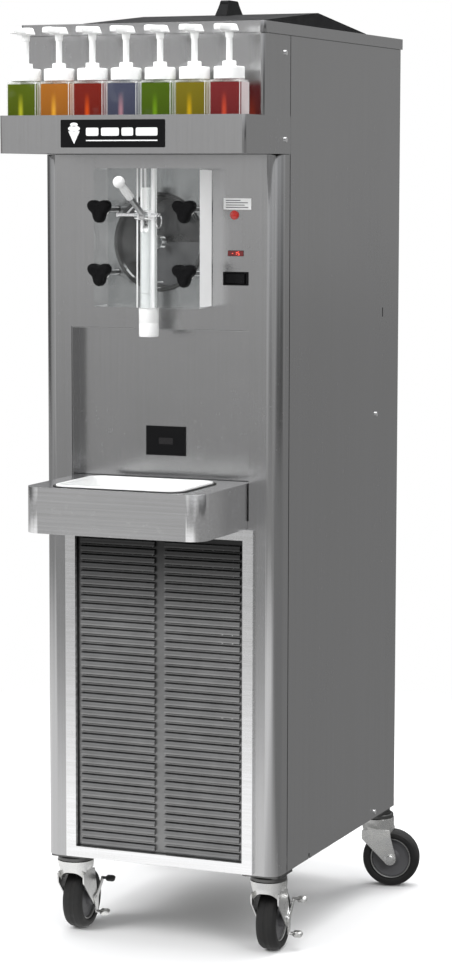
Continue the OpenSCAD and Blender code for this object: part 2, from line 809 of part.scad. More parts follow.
module syrup_bottles() {
    color(clear) placed() for (x = BOTTLES) translate([x, bottle_y, bottle_z]) difference() {
        union() {
            linear_extrude(bottle_h) rounded_rect(bottle_w, bottle_d, 6);
            cylinder(r = neck_r, h = bottle_h + neck_h);
        }
        translate([0, 0, bottle_wall]) linear_extrude(bottle_h - 2 * bottle_wall)
            rounded_rect(bottle_w - 2 * bottle_wall, bottle_d - 2 * bottle_wall, 6 - bottle_wall);
        translate([0, 0, 20]) cylinder(r = neck_r - 2, h = bottle_h);
    }
}

// Screw caps with the pump's body and dip tube below and its collar above
module pump_caps() {
    body_r = 10;
    body_h = pump_travel + 8;
    color(white) placed() for (x = BOTTLES) translate([x, bottle_y, pump_cap_z]) difference() {
        union() {
            cylinder(r = pump_cap_r, h = pump_cap_h);
            cylinder(r = 11.8, h = pump_cap_h + collar_h);
            translate([0, 0, -body_h]) cylinder(r = body_r, h = body_h + 5);
            translate([0, 0, 8 - bottle_h]) cylinder(r = 4, h = bottle_h - body_h);
        }
        difference() {
            translate([0, 0, -1]) cylinder(r = neck_r + 0.6, h = pump_cap_h - 3);
            translate([0, 0, -2]) cylinder(r = body_r, h = pump_cap_h);
        }
        translate([0, 0, 2 - body_h]) cylinder(r = stem_r + run, h = 100);
        translate([0, 0, 4 - bottle_h]) cylinder(r = 2.4, h = 100);
    }
}

// Pump plunger: stem, neck and a flat head whose spout points forward
module pump_plunger(i) {
    spout = 54;
    color(white) placed() translate([BOTTLES[i], bottle_y, 0]) difference() {
        union() {
            translate([0, 0, pump_cap_z - 5]) cylinder(r = stem_r, h = pump_head_z - pump_cap_z + 5);
            translate([0, 0, pump_head_z - 11]) cylinder(r1 = 6.5, r2 = 8, h = 12);
            translate([0, 0, pump_head_z]) cylinder(r1 = 16.5, r2 = 12.5, h = pump_head_h);
            along_x(-6.5, 6.5) translate([0, pump_head_z])
                polygon([[0, 0], [-spout, 0], [4 - spout, pump_head_h - 1.5], [0, pump_head_h]]);
        }
        translate([0, 5 - spout, pump_head_z - 1]) cylinder(r = 2.5, h = 7);
    }
}

module pump_plunger_1() {
    pump_plunger(0);
}

module pump_plunger_2() {
    pump_plunger(1);
}

module pump_plunger_3() {
    pump_plunger(2);
}

module pump_plunger_4() {
    pump_plunger(3);
}

module pump_plunger_5() {
    pump_plunger(4);
}

module pump_plunger_6() {
    pump_plunger(5);
}

module pump_plunger_7() {
    pump_plunger(6);
}

// ---- Fasteners and cord ----

// Pan-head screw whose head bears on the plane x = at
module side_screw(side, at, y, z) {
    translate([0, y, z]) {
        rod_x(2.5, side > 0 ? at - 12 : -at, side > 0 ? at : 12 - at);
        rod_x(4.6, side > 0 ? at + 0.02 : -at - 2.2, side > 0 ? at + 2.2 : -at - 0.02);
        rod_x(2.5, side > 0 ? at - 1 : -at - 1, side > 0 ? at + 1 : 1 - at);
    }
}

// The four bolt places of each caster plate
module caster_bolt_places() {
    for (c = CASTERS, x = [-bolt_dx, bolt_dx], y = [-bolt_dy, bolt_dy])
        translate([c[3] + x, c[4] + y, 0]) children();
}

// Panel screws on both sides, and the hexagon bolts that hold the caster plates
module screws_and_bolts() {
    color(bright_steel) placed() {
        for (side = [-1, 1]) {
            side_screw(side, half_w, 24, 1626);
            side_screw(side, rail_half, 20, 1475);
            side_screw(side, half_w, 507, 954);
            side_screw(side, half_w, 517, 166);
        }
        caster_bolt_places() {
            translate([0, 0, caster_h + pan_t + 0.1]) cylinder(r = 6.5, h = 4, $fn = 6);
            translate([0, 0, caster_h - plate_t + 0.2]) cylinder(r = bolt_r, h = plate_t + pan_t + 3);
        }
    }
}

// Mains cord hung in a loop on the rear panel, with its strain relief and plug
module power_cord() {
    y = cabinet_d + cord_reach - 9;
    r = 4.5;
    x0 = 160;
    z0 = 250;
    bend = 20;
    color(black) placed() {
        translate([x0, 0, z0]) rod_y(8, cabinet_d - 12, cabinet_d + 0.5);
        translate([x0, 0, z0]) rod_y(12, cabinet_d + 0.2, cabinet_d + cord_reach);
        translate([x0, y, z0 - 60]) cylinder(r = r, h = 60);
        translate([x0 - bend, y, z0 - 60]) intersection() {
            rotate([90, 0, 0]) rotate_extrude() translate([bend, 0]) circle(r);
            translate([-40, -10, -40]) cube([80, 20, 40.01]);
        }
        translate([x0 - 2 * bend, y, z0 - 60]) cylinder(r = r, h = 90);
        translate([x0 - 2 * bend, y, z0 + 20]) cylinder(r = 8.5, h = 40);
        for (x = [-4, 4]) translate([x0 - 2 * bend + x, y, z0 + 55]) cylinder(r = 1.8, h = 24);
    }
}

// ---- Casters ----

module at_caster(i) {
    translate([CASTERS[i][0], CASTERS[i][1] + front_y, 0]) rotate([0, 0, CASTERS[i][2]]) children();
}

// Square mounting plates with the fixed race and the kingpin
module caster_plates() {
    plate_z = caster_h - plate_t;
    color(steel) placed() difference() {
        for (c = CASTERS) {
            translate([c[3], c[4], plate_z]) linear_extrude(plate_t - 0.1) rounded_rect(74, 74, 8);
            translate([c[0], c[1], race_top - 5]) cylinder(r = cup_r - 5, h = plate_z - race_top + 5);
            translate([c[0], c[1], fork_top - 8]) cylinder(r = kingpin_r, h = plate_z - fork_top + 10);
        }
        caster_bolt_places() translate([0, 0, plate_z]) cylinder(r = bolt_r + 0.2, h = 100);
    }
}

// Hooded fork with its swivel cup and the axle bolt
module caster_fork(i) {
    yoke_len = 62;
    color(steel) at_caster(i) {
        difference() {
            union() {
                translate([0, 0, fork_top - 2]) cylinder(r = cup_r, h = race_top - fork_top + 0.5);
                intersection() {
                    linear_extrude(caster_h) translate([0, 3]) rounded_rect(2 * fork_half, yoke_len, fork_half - 1);
                    along_x(-fork_half, fork_half) yoke_side();
                }
                for (side = [-1, 1]) translate([side * (fork_half - leg_t / 2), 0, 0])
                    along_x(-leg_t / 2, leg_t / 2) leg_side();
            }
            // room for the wheel, the race and the kingpin
            block([leg_t - fork_half, fork_half - leg_t], [-26, 60], [0, fork_top - 5]);
            translate([0, caster_trail, wheel_r]) rod_x(wheel_r + 4, leg_t - fork_half, fork_half - leg_t);
            translate([0, 0, race_top - 5.3]) cylinder(r = cup_r - 4.7, h = 30);
            translate([0, 0, fork_top - 20]) cylinder(r = kingpin_r + run, h = 40);
            translate([0, caster_trail, wheel_r]) rod_x(axle_r + run, -40, 40);
        }
        translate([0, caster_trail, wheel_r]) {
            rod_x(axle_r, -fork_half - 4, fork_half + 4);
            rod_x(8.5, -fork_half - 5, -fork_half - 0.1);
            if (i > 1) rod_x(8.5, fork_half + 0.1, fork_half + 5);
        }
    }
}

// Side outline of the fork's hood, in y and z
module yoke_side() {
    polygon([[-28, fork_top - 42], [-28, fork_top], [34, fork_top], [34, fork_top - 30], [0, fork_top - 60]]);
}

// Side outline of one leg, tapering to the axle
module leg_side() {
    polygon([[-22, fork_top - 50], [-22, fork_top - 3], [32, fork_top - 3],
             [caster_trail + 12, wheel_r], [caster_trail - 11, wheel_r - 5]]);
    translate([caster_trail, wheel_r]) circle(12);
}

module caster_fork_1() {
    caster_fork(0);
}

module caster_fork_2() {
    caster_fork(1);
}

module caster_fork_3() {
    caster_fork(2);
}

module caster_fork_4() {
    caster_fork(3);
}

// Wheel: a crowned tyre round a dished hub
module caster_wheel(i) {
    hub_r = wheel_r * 0.70;
    half = wheel_w / 2;
    bead = 5;
    boss_half = fork_half - leg_t - 0.6;
    at_caster(i) translate([0, caster_trail, wheel_r]) rotate([0, 90, 0]) {
        color(black) rotate_extrude() {
            translate([hub_r, -half + bead]) square([wheel_r - hub_r, 2 * (half - bead)]);
            translate([hub_r, -half]) square([wheel_r - hub_r - bead, 2 * half]);
            for (side = [-1, 1]) translate([wheel_r - bead, side * (half - bead)]) circle(bead);
        }
        color(dark_steel) rotate_extrude() {
            translate([hub_r - 5, 1.5 - half]) square([4.9, 2 * half - 3]);
            translate([axle_r + 8, -4]) square([hub_r - axle_r - 10, 8]);
            translate([axle_r + run, -boss_half]) square([9, 2 * boss_half]);
        }
    }
}

module caster_wheel_1() {
    caster_wheel(0);
}

module caster_wheel_2() {
    caster_wheel(1);
}

module caster_wheel_3() {
    caster_wheel(2);
}

module caster_wheel_4() {
    caster_wheel(3);
}

// Side brake: a lever on the axle bolt with a release pad above and a pedal below
module brake_lever(i) {
    x0 = fork_half + 0.2;
    color(bright_steel) at_caster(i) translate([0, caster_trail, wheel_r]) difference() {
        union() {
            along_x(x0, x0 + 2.5) {
                circle(10);
                rotate(42) translate([0, -5]) square([46, 10]);
                rotate(-75) translate([0, -6]) square([26, 12]);
            }
            rotate([42, 0, 0]) block([x0, x0 + 27], [40, 54], [-6, 6]);
            rotate([-75, 0, 0]) block([x0, x0 + 20], [22, 31], [-8, 8]);
        }
        rod_x(axle_r + run, x0 - 5, x0 + 6);
    }
}

module brake_lever_1() {
    brake_lever(0);
}

module brake_lever_2() {
    brake_lever(1);
}

// ---- Assembly ----

chassis_frame();
left_side_panel();
right_side_panel();
rear_panel();
front_panel();
splash_panel();
grille_frame();
louvre_panel();
head_housing();
syrup_rail();
name_plate();
top_cap();
hopper();
hopper_cover();
freezing_cylinder();
auger();
gear_motor();
compressor();
condenser();
fan_blades();
door_seal();
freezer_door();
door_knob_1();
door_knob_2();
door_knob_3();
door_knob_4();
spigot_nozzle();
draw_valve();
pivot_pin();
draw_handle();
instruction_plate();
indicator_light();
temperature_display();
switch_bezel();
rocker_switch();
cup_sensor();
drip_shelf();
drip_tray();
syrup_bottles();
pump_caps();
pump_plunger_1();
pump_plunger_2();
pump_plunger_3();
pump_plunger_4();
pump_plunger_5();
pump_plunger_6();
pump_plunger_7();
screws_and_bolts();
power_cord();
caster_plates();
caster_fork_1();
caster_fork_2();
caster_fork_3();
caster_fork_4();
caster_wheel_1();
caster_wheel_2();
caster_wheel_3();
caster_wheel_4();
brake_lever_1();
brake_lever_2();
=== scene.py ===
import json
import math

import bpy
import bmesh
from mathutils import Matrix, Vector


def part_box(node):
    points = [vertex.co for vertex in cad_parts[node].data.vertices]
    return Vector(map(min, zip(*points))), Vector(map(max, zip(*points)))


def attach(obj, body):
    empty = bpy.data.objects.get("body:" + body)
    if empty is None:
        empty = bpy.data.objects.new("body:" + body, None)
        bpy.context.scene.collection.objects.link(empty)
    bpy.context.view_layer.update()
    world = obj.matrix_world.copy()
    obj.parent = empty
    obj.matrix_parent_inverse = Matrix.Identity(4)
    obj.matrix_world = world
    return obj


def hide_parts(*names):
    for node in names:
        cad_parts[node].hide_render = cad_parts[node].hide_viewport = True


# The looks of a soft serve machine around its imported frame.
# Everything is in metres, +Z up, -Y to the front; numbers times MM are millimetres.
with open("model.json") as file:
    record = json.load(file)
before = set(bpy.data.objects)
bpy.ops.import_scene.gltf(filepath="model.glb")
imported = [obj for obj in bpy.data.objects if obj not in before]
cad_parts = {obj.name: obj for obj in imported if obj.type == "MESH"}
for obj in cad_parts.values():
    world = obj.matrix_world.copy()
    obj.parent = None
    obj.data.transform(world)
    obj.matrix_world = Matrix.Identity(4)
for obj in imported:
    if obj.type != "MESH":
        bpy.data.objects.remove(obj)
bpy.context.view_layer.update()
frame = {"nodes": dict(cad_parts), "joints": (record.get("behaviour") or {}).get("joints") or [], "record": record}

MM = 0.001
X, Y, Z = Vector((1, 0, 0)), Vector((0, 1, 0)), Vector((0, 0, 1))

# the colour sockets of a Mix node, whose names are shared by its other kinds of socket
MIX_FIRST, MIX_SECOND, MIX_RESULT = 6, 7, 2

BOTTLES = range(1, 8)
CASTERS = range(1, 5)
BRAKED = (1, 2)


# ---- materials

class Shader:
    """A node material with short ways to add nodes and noise to it.

    Each look below makes one and returns its name and material.
    """

    def __init__(self, name, **principled):
        self.material = bpy.data.materials.new(name)
        self.material.use_nodes = True
        self.nodes = self.material.node_tree.nodes
        self.links = self.material.node_tree.links
        self.bsdf = self.nodes["Principled BSDF"]
        self.output = self.nodes["Material Output"]
        self.set(self.bsdf, principled)
        self.place = self.nodes.new("ShaderNodeTexCoord").outputs["Object"]

    def set(self, node, values):
        for key, value in values.items():
            socket = node.inputs[key]
            if isinstance(value, bpy.types.NodeSocket):
                self.links.new(value, socket)
            elif isinstance(value, tuple) and len(value) == 3 and socket.type == "RGBA":
                socket.default_value = (*value, 1)
            else:
                socket.default_value = value

    def add(self, kind, options=None, **values):
        node = self.nodes.new("ShaderNode" + kind)
        for key, value in (options or {}).items():
            setattr(node, key, value)
        self.set(node, values)
        return node

    def math(self, operation, a, b=0.0, clamp=False):
        node = self.add("Math", {"operation": operation, "use_clamp": clamp})
        for socket, value in zip(node.inputs, (a, b)):
            if isinstance(value, bpy.types.NodeSocket):
                self.links.new(value, socket)
            else:
                socket.default_value = value
        return node.outputs[0]

    def noise(self, scale, detail, stretch=(1, 1, 1)):
        """Noise of about scale waves per metre; a small stretch value draws it out on that axis."""
        mapping = self.add("Mapping", Vector=self.place)
        mapping.inputs["Scale"].default_value = [scale * s for s in stretch]
        return self.add("TexNoise", Vector=mapping.outputs[0], Scale=1.0, Detail=detail).outputs[0]

    def span(self, value, low, high, start=0.3, end=0.7):
        """Maps value from start..end to low..high."""
        node = self.add("MapRange", Value=value)
        set_range(node, start, end, low, high)
        return node.outputs[0]

    def tint(self, value, dark, light):
        """A colour from dark to light by value; both are colours or sockets."""
        node = self.add("Mix", {"data_type": "RGBA"})
        self.links.new(value, node.inputs["Factor"])
        for socket, colour in ((node.inputs[MIX_FIRST], dark), (node.inputs[MIX_SECOND], light)):
            if isinstance(colour, bpy.types.NodeSocket):
                self.links.new(colour, socket)
            else:
                socket.default_value = (*colour, 1)
        return node.outputs[MIX_RESULT]

    def blend(self, share, first, second):
        """A shader from first to second by share."""
        node = self.add("MixShader")
        for socket, value in zip(node.inputs, (share, first, second)):
            self.links.new(value, socket)
        return node.outputs[0]

    def relief(self, *layers, edge=0.0):
        """Bump layers, each (height, distance in metres), over rounded edges when edge is given."""
        normal = None
        if edge:
            normal = self.add("Bevel", {"samples": 4}, Radius=edge).outputs[0]
        for height, distance in layers:
            bump = self.add("Bump", Height=height, Strength=1.0, Distance=distance)
            if normal:
                self.links.new(normal, bump.inputs["Normal"])
            normal = bump.outputs[0]
        self.links.new(normal, self.bsdf.inputs["Normal"])


def set_range(node, start, end, low, high):
    for key, number in zip(("From Min", "From Max", "To Min", "To Max"), (start, end, low, high)):
        node.inputs[key].default_value = number


def grey(value):
    return (value, value, value)


def brushed(name, tone, roughness, grain=(1, 1, 0.008), streak=0.06):
    """Brushed stainless: long fine grain, faint streaks, soft smudges and small pits."""
    s = Shader(name, Metallic=1.0)
    fine = s.noise(2600, 2.0, grain)
    streaks = s.noise(240, 3.0, grain)
    smudge = s.noise(5.5, 4.0)
    pits = s.noise(90, 6.0)
    low, high = tone * (1 - streak), tone * (1 + streak)
    base = s.tint(s.span(streaks, 0, 1), grey(low), (high, high, high * 1.012))
    s.set(s.bsdf, {"Base Color": base, "Anisotropic": 0.35})
    rough = s.math("ADD", s.span(fine, roughness - 0.03, roughness + 0.04),
                   s.span(smudge, 0, 0.05, 0.45, 0.75))
    s.links.new(s.math("ADD", rough, s.span(pits, 0, 0.03, 0.55, 0.7)), s.bsdf.inputs["Roughness"])
    s.relief((fine, 0.000012), (streaks, 0.000007), (smudge, 0.0004))
    return name, s.material


def louvre_steel(name, tone, roughness):
    """Brushed stainless of the louvres, in the shelf's shade over the top rows."""
    s = Shader(name, Metallic=1.0)
    fine = s.noise(2400, 2.0, (0.01, 1, 1))
    soil = s.noise(30, 5.0)
    height = s.add("SeparateXYZ", Vector=s.place).outputs["Z"]
    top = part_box("louvre_panel")[1].z
    shaded = s.span(height, 0, 1, top - 0.17, top - 0.03)
    light = s.tint(s.span(soil, 0, 1), grey(tone * 0.86), grey(tone))
    s.set(s.bsdf, {"Base Color": s.tint(shaded, light, grey(tone * 0.16))})
    s.links.new(s.span(fine, roughness - 0.04, roughness + 0.06), s.bsdf.inputs["Roughness"])
    s.relief((fine, 0.00001), (soil, 0.0012))
    return name, s.material


def plated(name, tone, roughness):
    """Zinc or nickel plate with slight cloudiness."""
    s = Shader(name, Metallic=1.0)
    cloud = s.noise(60, 4.0)
    spangle = s.noise(700, 2.0)
    bright = (tone, tone, tone * 0.97)
    s.set(s.bsdf, {"Base Color": s.tint(s.span(cloud, 0, 1), grey(tone * 0.85), bright)})
    s.links.new(s.span(spangle, roughness - 0.06, roughness + 0.1), s.bsdf.inputs["Roughness"])
    s.relief((cloud, 0.00003), (spangle, 0.000003))
    return name, s.material


def moulded(name, colour, roughness, texture=0.00003, soft=0.0, variation=0.06, shine=0.5):
    """Injection-moulded plastic with a fine spark-eroded texture and slight handling marks."""
    s = Shader(name)
    fine = s.noise(3200, 2.0)
    broad = s.noise(35, 4.0)
    dark = tuple(c * (1 - variation) for c in colour)
    s.set(s.bsdf, {"Base Color": s.tint(s.span(broad, 0, 1), dark, colour),
                   "Specular IOR Level": shine})
    if soft:
        s.set(s.bsdf, {"Subsurface Weight": soft, "Subsurface Radius": grey(0.004),
                       "Subsurface Scale": 1.0})
    s.links.new(s.span(broad, roughness - 0.06, roughness + 0.08), s.bsdf.inputs["Roughness"])
    s.relief((fine, texture), (broad, 0.0001))
    return name, s.material


def rubber(name, tone):
    """Matt rubber, dusty in places."""
    s = Shader(name)
    dust = s.noise(55, 6.0)
    fine = s.noise(1400, 3.0)
    dusty = (tone * 2.2, tone * 2.1, tone * 2.0)
    s.set(s.bsdf, {"Base Color": s.tint(s.span(dust, 0, 1, 0.45, 0.75), grey(tone), dusty)})
    s.links.new(s.span(dust, 0.55, 0.8), s.bsdf.inputs["Roughness"])
    s.relief((fine, 0.00008), (dust, 0.0003))
    return name, s.material


def enamel(name, colour, gloss=0.35):
    """Sprayed paint with orange peel and a few chips."""
    s = Shader(name)
    peel = s.noise(420, 2.0)
    chips = s.noise(120, 8.0)
    bare = s.span(chips, 0, 1, 0.71, 0.73)
    primer = (0.35, 0.34, 0.33)
    s.set(s.bsdf, {"Base Color": s.tint(bare, colour, primer), "Metallic": bare,
                   "Coat Weight": 0.2})
    s.links.new(s.span(peel, gloss - 0.05, gloss + 0.1), s.bsdf.inputs["Roughness"])
    s.relief((peel, 0.00006), edge=0.0008)
    return name, s.material


def clear_plastic(name, tint, face, rim, sawn_glint, shine=1.0, steep=2.2):
    """Polished clear plastic: see-through face on, with milky edges, scratches and reflections,
    and a painted highlight that glows on its sawn edges.

    face is how milky it looks face on, rim how much milkier at a glancing angle, steep how fast
    that rises, cut how bright the painted highlight on its sawn edges is, and shine how strongly it mirrors.
    """
    haze = 0.03
    s = Shader(name, Roughness=haze)
    s.set(s.bsdf, {"Base Color": (0.93, 0.94, 0.94)})
    scratch = s.noise(900, 2.0, (1, 1, 0.03))
    cloud = s.noise(25, 3.0)
    s.links.new(s.span(scratch, haze, haze + 0.12, 0.5, 0.75), s.bsdf.inputs["Roughness"])
    s.relief((scratch, 0.00001), (cloud, 0.00012))
    through = s.add("BsdfTransparent", Color=tint)
    edge = s.add("LayerWeight", Blend=0.35)
    seen = s.math("POWER", edge.outputs["Facing"], steep)
    seen = s.math("ADD", s.math("MULTIPLY", seen, rim), s.span(cloud, face - 0.02, face + 0.03))
    # painted highlight: sawn edges that face to the sides or up and down glow, standing in for the most light they
    # pick up
    surface = s.add("NewGeometry")
    normal = s.add("SeparateXYZ", Vector=surface.outputs["Normal"])
    square = s.math("MAXIMUM", s.math("ABSOLUTE", normal.outputs["X"]),
                    s.math("ABSOLUTE", normal.outputs["Z"]))
    sawn = s.math("MULTIPLY", s.span(square, 0, sawn_glint, 0.94, 0.985),
                  s.math("SUBTRACT", 1.0, surface.outputs["Backfacing"]))
    corner = s.span(s.math("ABSOLUTE", s.math("SUBTRACT", square, 0.7)), sawn_glint, 0, 0.05, 0.14)
    painted_edge_light = s.math("MAXIMUM", sawn, corner)
    seen = s.math("ADD", seen, painted_edge_light, clamp=True)
    # painted highlight: the sawn edges glow white
    s.set(s.bsdf, {"Emission Color": grey(1.0),
                   "Emission Strength": s.math("MULTIPLY", painted_edge_light, 0.35)})
    gloss = s.add("BsdfGlossy", Roughness=haze + 0.02, Color=(0.95, 0.95, 0.95))
    grazing = s.add("LayerWeight", Blend=0.5).outputs["Facing"]
    fresnel = s.math("ADD", s.math("POWER", grazing, 4.0), 0.04)
    body = s.blend(seen, through.outputs[0], s.bsdf.outputs[0])
    final = s.blend(s.math("MULTIPLY", fresnel, shine), body, gloss.outputs[0])
    s.links.new(final, s.output.inputs["Surface"])
    return name, s.material


def syrup(name, colour, painted_glow, foot):
    """Coloured syrup with painted light: it glows by emission as if lit from behind,
    lighter towards the top, with a painted bright streak in the middle.

    glow is the colour of the painted streak, and foot is the middle of the bottle's underside.
    """
    s = Shader(name, Roughness=0.2)
    swirl = s.noise(40, 3.0, (1, 1, 0.25))
    here = s.add("SeparateXYZ", Vector=s.place)
    dark = tuple(c * 0.62 for c in colour)
    light = tuple(c * 1.08 for c in colour)
    height = here.outputs["Z"]
    # painted light: the glow is lighter towards the top
    rise = s.span(height, 0, 1, foot.z + 0.05, foot.z + 0.12)
    body = s.tint(s.math("ADD", rise, s.span(swirl, -0.08, 0.08), clamp=True), dark, light)
    aside = s.math("ABSOLUTE", s.math("SUBTRACT", here.outputs["X"], foot.x - 0.001))
    # painted highlight: a bright streak in the middle, low in the bottle
    streak = s.math("MULTIPLY", s.span(aside, 1, 0, 0.0012, 0.0062),
                    s.span(height, 1, 0, foot.z + 0.075, foot.z + 0.104))
    # the syrup's colours go to emission, so it glows with painted light whatever the lamps do
    s.set(s.bsdf, {"Base Color": tuple(c * 0.3 for c in colour),
                   "Emission Color": s.tint(streak, body, painted_glow),
                   "Emission Strength": 0.9, "Specular IOR Level": 0.0})
    s.relief((swirl, 0.0003))
    return name, s.material


def lamp_lens(name, colour, strength):
    """A glossy lens that glows by strength."""
    s = Shader(name, Roughness=0.15)
    facet = s.noise(700, 1.0)
    dark = tuple(c * 0.7 for c in colour)
    s.set(s.bsdf, {"Base Color": s.tint(s.span(facet, 0, 1), dark, colour),
                   "Emission Color": colour, "Emission Strength": strength, "Coat Weight": 0.8})
    s.relief((facet, 0.00005))
    return name, s.material


# by the name asked for, as Blender renames one whose name the CAD model has already
MATERIALS = dict((
    brushed("stainless", 0.50, 0.20, streak=0.02),
    brushed("bright_stainless", 0.94, 0.24, (0.01, 1, 1), streak=0.05),
    brushed("shelf_stainless", 0.84, 0.20, (0.008, 1, 1)),
    louvre_steel("louvre_stainless", 0.30, 0.36),
    # painted shade: nearly black steel for the shade inside the freezing cylinder
    brushed("bore_painted_shade", 0.05, 0.3, (1, 0.01, 1)),
    # painted shade: the auger flight is dark grey, standing in for the shade inside the freezing cylinder
    moulded("auger_plastic", (0.10, 0.10, 0.105), 0.3, 0.00002),
    plated("galvanised_frame", 0.42, 0.4),
    plated("zinc_plate", 0.86, 0.26),
    # painted shade: dark plate for the shade under the cabinet, on the caster plates and the fork cups
    plated("race_painted_shade", 0.16, 0.35),
    brushed("lever_metal", 0.48, 0.3, (1, 1, 1), streak=0.1),
    moulded("black_plastic", (0.007, 0.007, 0.0075), 0.5, 0.00005, shine=0.08),
    moulded("white_plastic", (0.88, 0.885, 0.88), 0.34, 0.00002, soft=0.12, variation=0.02),
    clear_plastic("clear_plastic", (0.95, 0.96, 0.96), face=0.01, rim=0.6, sawn_glint=0.85),
    clear_plastic("bottle_plastic", (0.97, 0.975, 0.96), face=-0.02, rim=1.6, sawn_glint=0.4, shine=0.05,
                  steep=5.0),
    enamel("motor_paint", (0.10, 0.12, 0.14)),
    enamel("compressor_paint", (0.012, 0.012, 0.013), 0.3),
    plated("coil_aluminium", 0.62, 0.35),
    rubber("seal_rubber", 0.02),
    rubber("cord_rubber", 0.025),
    rubber("caster_tyre", 0.011),
    moulded("hub_plastic", (0.12, 0.12, 0.125), 0.5),
    plated("ring_metal", 0.6, 0.3),
    lamp_lens("red_lens", (0.55, 0.015, 0.008), 0.08),
    lamp_lens("display_window", (0.16, 0.005, 0.006), 0.05),
    lamp_lens("digit", (1.0, 0.10, 0.06), 2.2),
    moulded("brake_pad", (0.03, 0.03, 0.032), 0.45),
    lamp_lens("sensor_glass", (0.004, 0.003, 0.004), 0.0),
    moulded("print_ink", (0.10, 0.10, 0.11), 0.5, 0.00001),
    moulded("print_white", (0.85, 0.85, 0.85), 0.45, 0.00001, variation=0.02),
))

# each syrup's colour, and the colour of its painted streak, which stands in for the light through it
SYRUPS = (
    ((0.078, 0.107, 0.009), (0.48, 0.47, 0.03)),
    ((0.337, 0.120, 0.020), (0.76, 0.37, 0.03)),
    ((0.165, 0.018, 0.013), (0.66, 0.083, 0.01)),
    ((0.061, 0.065, 0.105), (0.43, 0.21, 0.25)),
    ((0.061, 0.105, 0.009), (0.15, 0.29, 0.01)),
    ((0.162, 0.130, 0.012), (0.58, 0.35, 0.01)),
    ((0.156, 0.022, 0.024), (0.57, 0.069, 0.03)),
)


# ---- mesh helpers

def centre(node):
    low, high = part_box(node)
    return (low + high) / 2


def new_object(name, data):
    obj = bpy.data.objects.new(name, data)
    bpy.context.scene.collection.objects.link(obj)
    return obj


def mesh_object(name, bm, material):
    """Makes an object from bm, and frees bm."""
    mesh = bpy.data.meshes.new(name)
    bm.to_mesh(mesh)
    bm.free()
    mesh.materials.append(material)
    return new_object(name, mesh)


def finish_mesh(name, bm, material, body, replaces=(), smooth=40, bevel=0.0):
    """Makes a piece of the object from bm and rides it on its body."""
    bmesh.ops.remove_doubles(bm, verts=bm.verts, dist=1e-7)
    bmesh.ops.recalc_face_normals(bm, faces=bm.faces)
    obj = mesh_object(name, bm, MATERIALS[material])
    shade(obj, smooth)
    if bevel:
        round_edges(obj, bevel, smooth)
    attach(obj, body)
    if replaces:
        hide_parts(*replaces)


def round_edges(obj, width, angle):
    """Rounds edges sharper than angle with a modifier."""
    rounding = obj.modifiers.new("rounding", "BEVEL")
    rounding.width = width
    rounding.segments = 2
    rounding.limit_method = "ANGLE"
    rounding.angle_limit = math.radians(angle)
    rounding.harden_normals = True


def shade(obj, angle):
    """Smooth shading, with edges sharper than angle kept crisp."""
    mesh = obj.data
    mesh.polygons.foreach_set("use_smooth", [True] * len(mesh.polygons))
    bm = bmesh.new()
    bm.from_mesh(mesh)
    limit = math.radians(angle)
    for edge in bm.edges:
        edge.smooth = len(edge.link_faces) != 2 or edge.calc_face_angle(0) < limit
    bm.to_mesh(mesh)
    bm.free()


def fillet(points, steps):
    """Rounds a polyline of (x, y) or (x, y, radius) corners with arcs."""
    out = []
    count = len(points)
    for i, point in enumerate(points):
        radius = point[2] if len(point) > 2 else 0
        here = Vector(point[:2])
        if not radius or i in (0, count - 1):
            out.append(here)
            continue
        back = (Vector(points[i - 1][:2]) - here).normalized()
        on = (Vector(points[(i + 1) % count][:2]) - here).normalized()
        half = back.angle(on) / 2
        reach = radius / math.tan(half)
        middle = here + (back + on).normalized() * radius / math.sin(half)
        start = here + back * reach - middle
        turn = math.pi - 2 * half
        sign = 1 if start.x * on.y - start.y * on.x > 0 else -1
        for k in range(steps + 1):
            a = sign * turn * k / steps
            out.append(middle + Vector((start.x * math.cos(a) - start.y * math.sin(a),
                                        start.x * math.sin(a) + start.y * math.cos(a))))
    return out


def axes_for(direction):
    """Two unit vectors square to direction."""
    direction = direction.normalized()
    side = Z if abs(direction.z) < 0.9 else Y
    u = direction.cross(side).normalized()
    return u, direction.cross(u).normalized()


def add_rings(bm, rings, loop=False):
    """Skins rings of points into bm, with closed ends, or the last joined to the first."""
    made = [[bm.verts.new(p) for p in ring] for ring in rings]
    count = len(made[0])
    pairs = list(zip(made, made[1:])) + ([(made[-1], made[0])] if loop else [])
    for a, b in pairs:
        for i in range(count):
            j = (i + 1) % count
            bm.faces.new((a[i], a[j], b[j], b[i]))
    if not loop:
        bm.faces.new(made[0])
        bm.faces.new(list(reversed(made[-1])))


def lathe(bm, origin, direction, profile, sides):
    """Turns a profile of (radius, height) about an axis."""
    direction = direction.normalized()
    u, v = axes_for(direction)
    rings = []
    for radius, height in profile:
        ring = []
        for i in range(sides):
            a = 2 * math.pi * i / sides
            r = max(radius, 1e-6)
            ring.append(origin + direction * height + u * r * math.cos(a) + v * r * math.sin(a))
        rings.append(ring)
    add_rings(bm, rings)


def lathe_loop(bm, origin, direction, profile, sides):
    """Turns a closed profile, so that the solid has a hole along its axis."""
    direction = direction.normalized()
    u, v = axes_for(direction)
    rings = []
    for radius, height in profile:
        turn = [2 * math.pi * i / sides for i in range(sides)]
        middle = origin + direction * height
        rings.append([middle + u * radius * math.cos(a) + v * radius * math.sin(a) for a in turn])
    add_rings(bm, rings, loop=True)


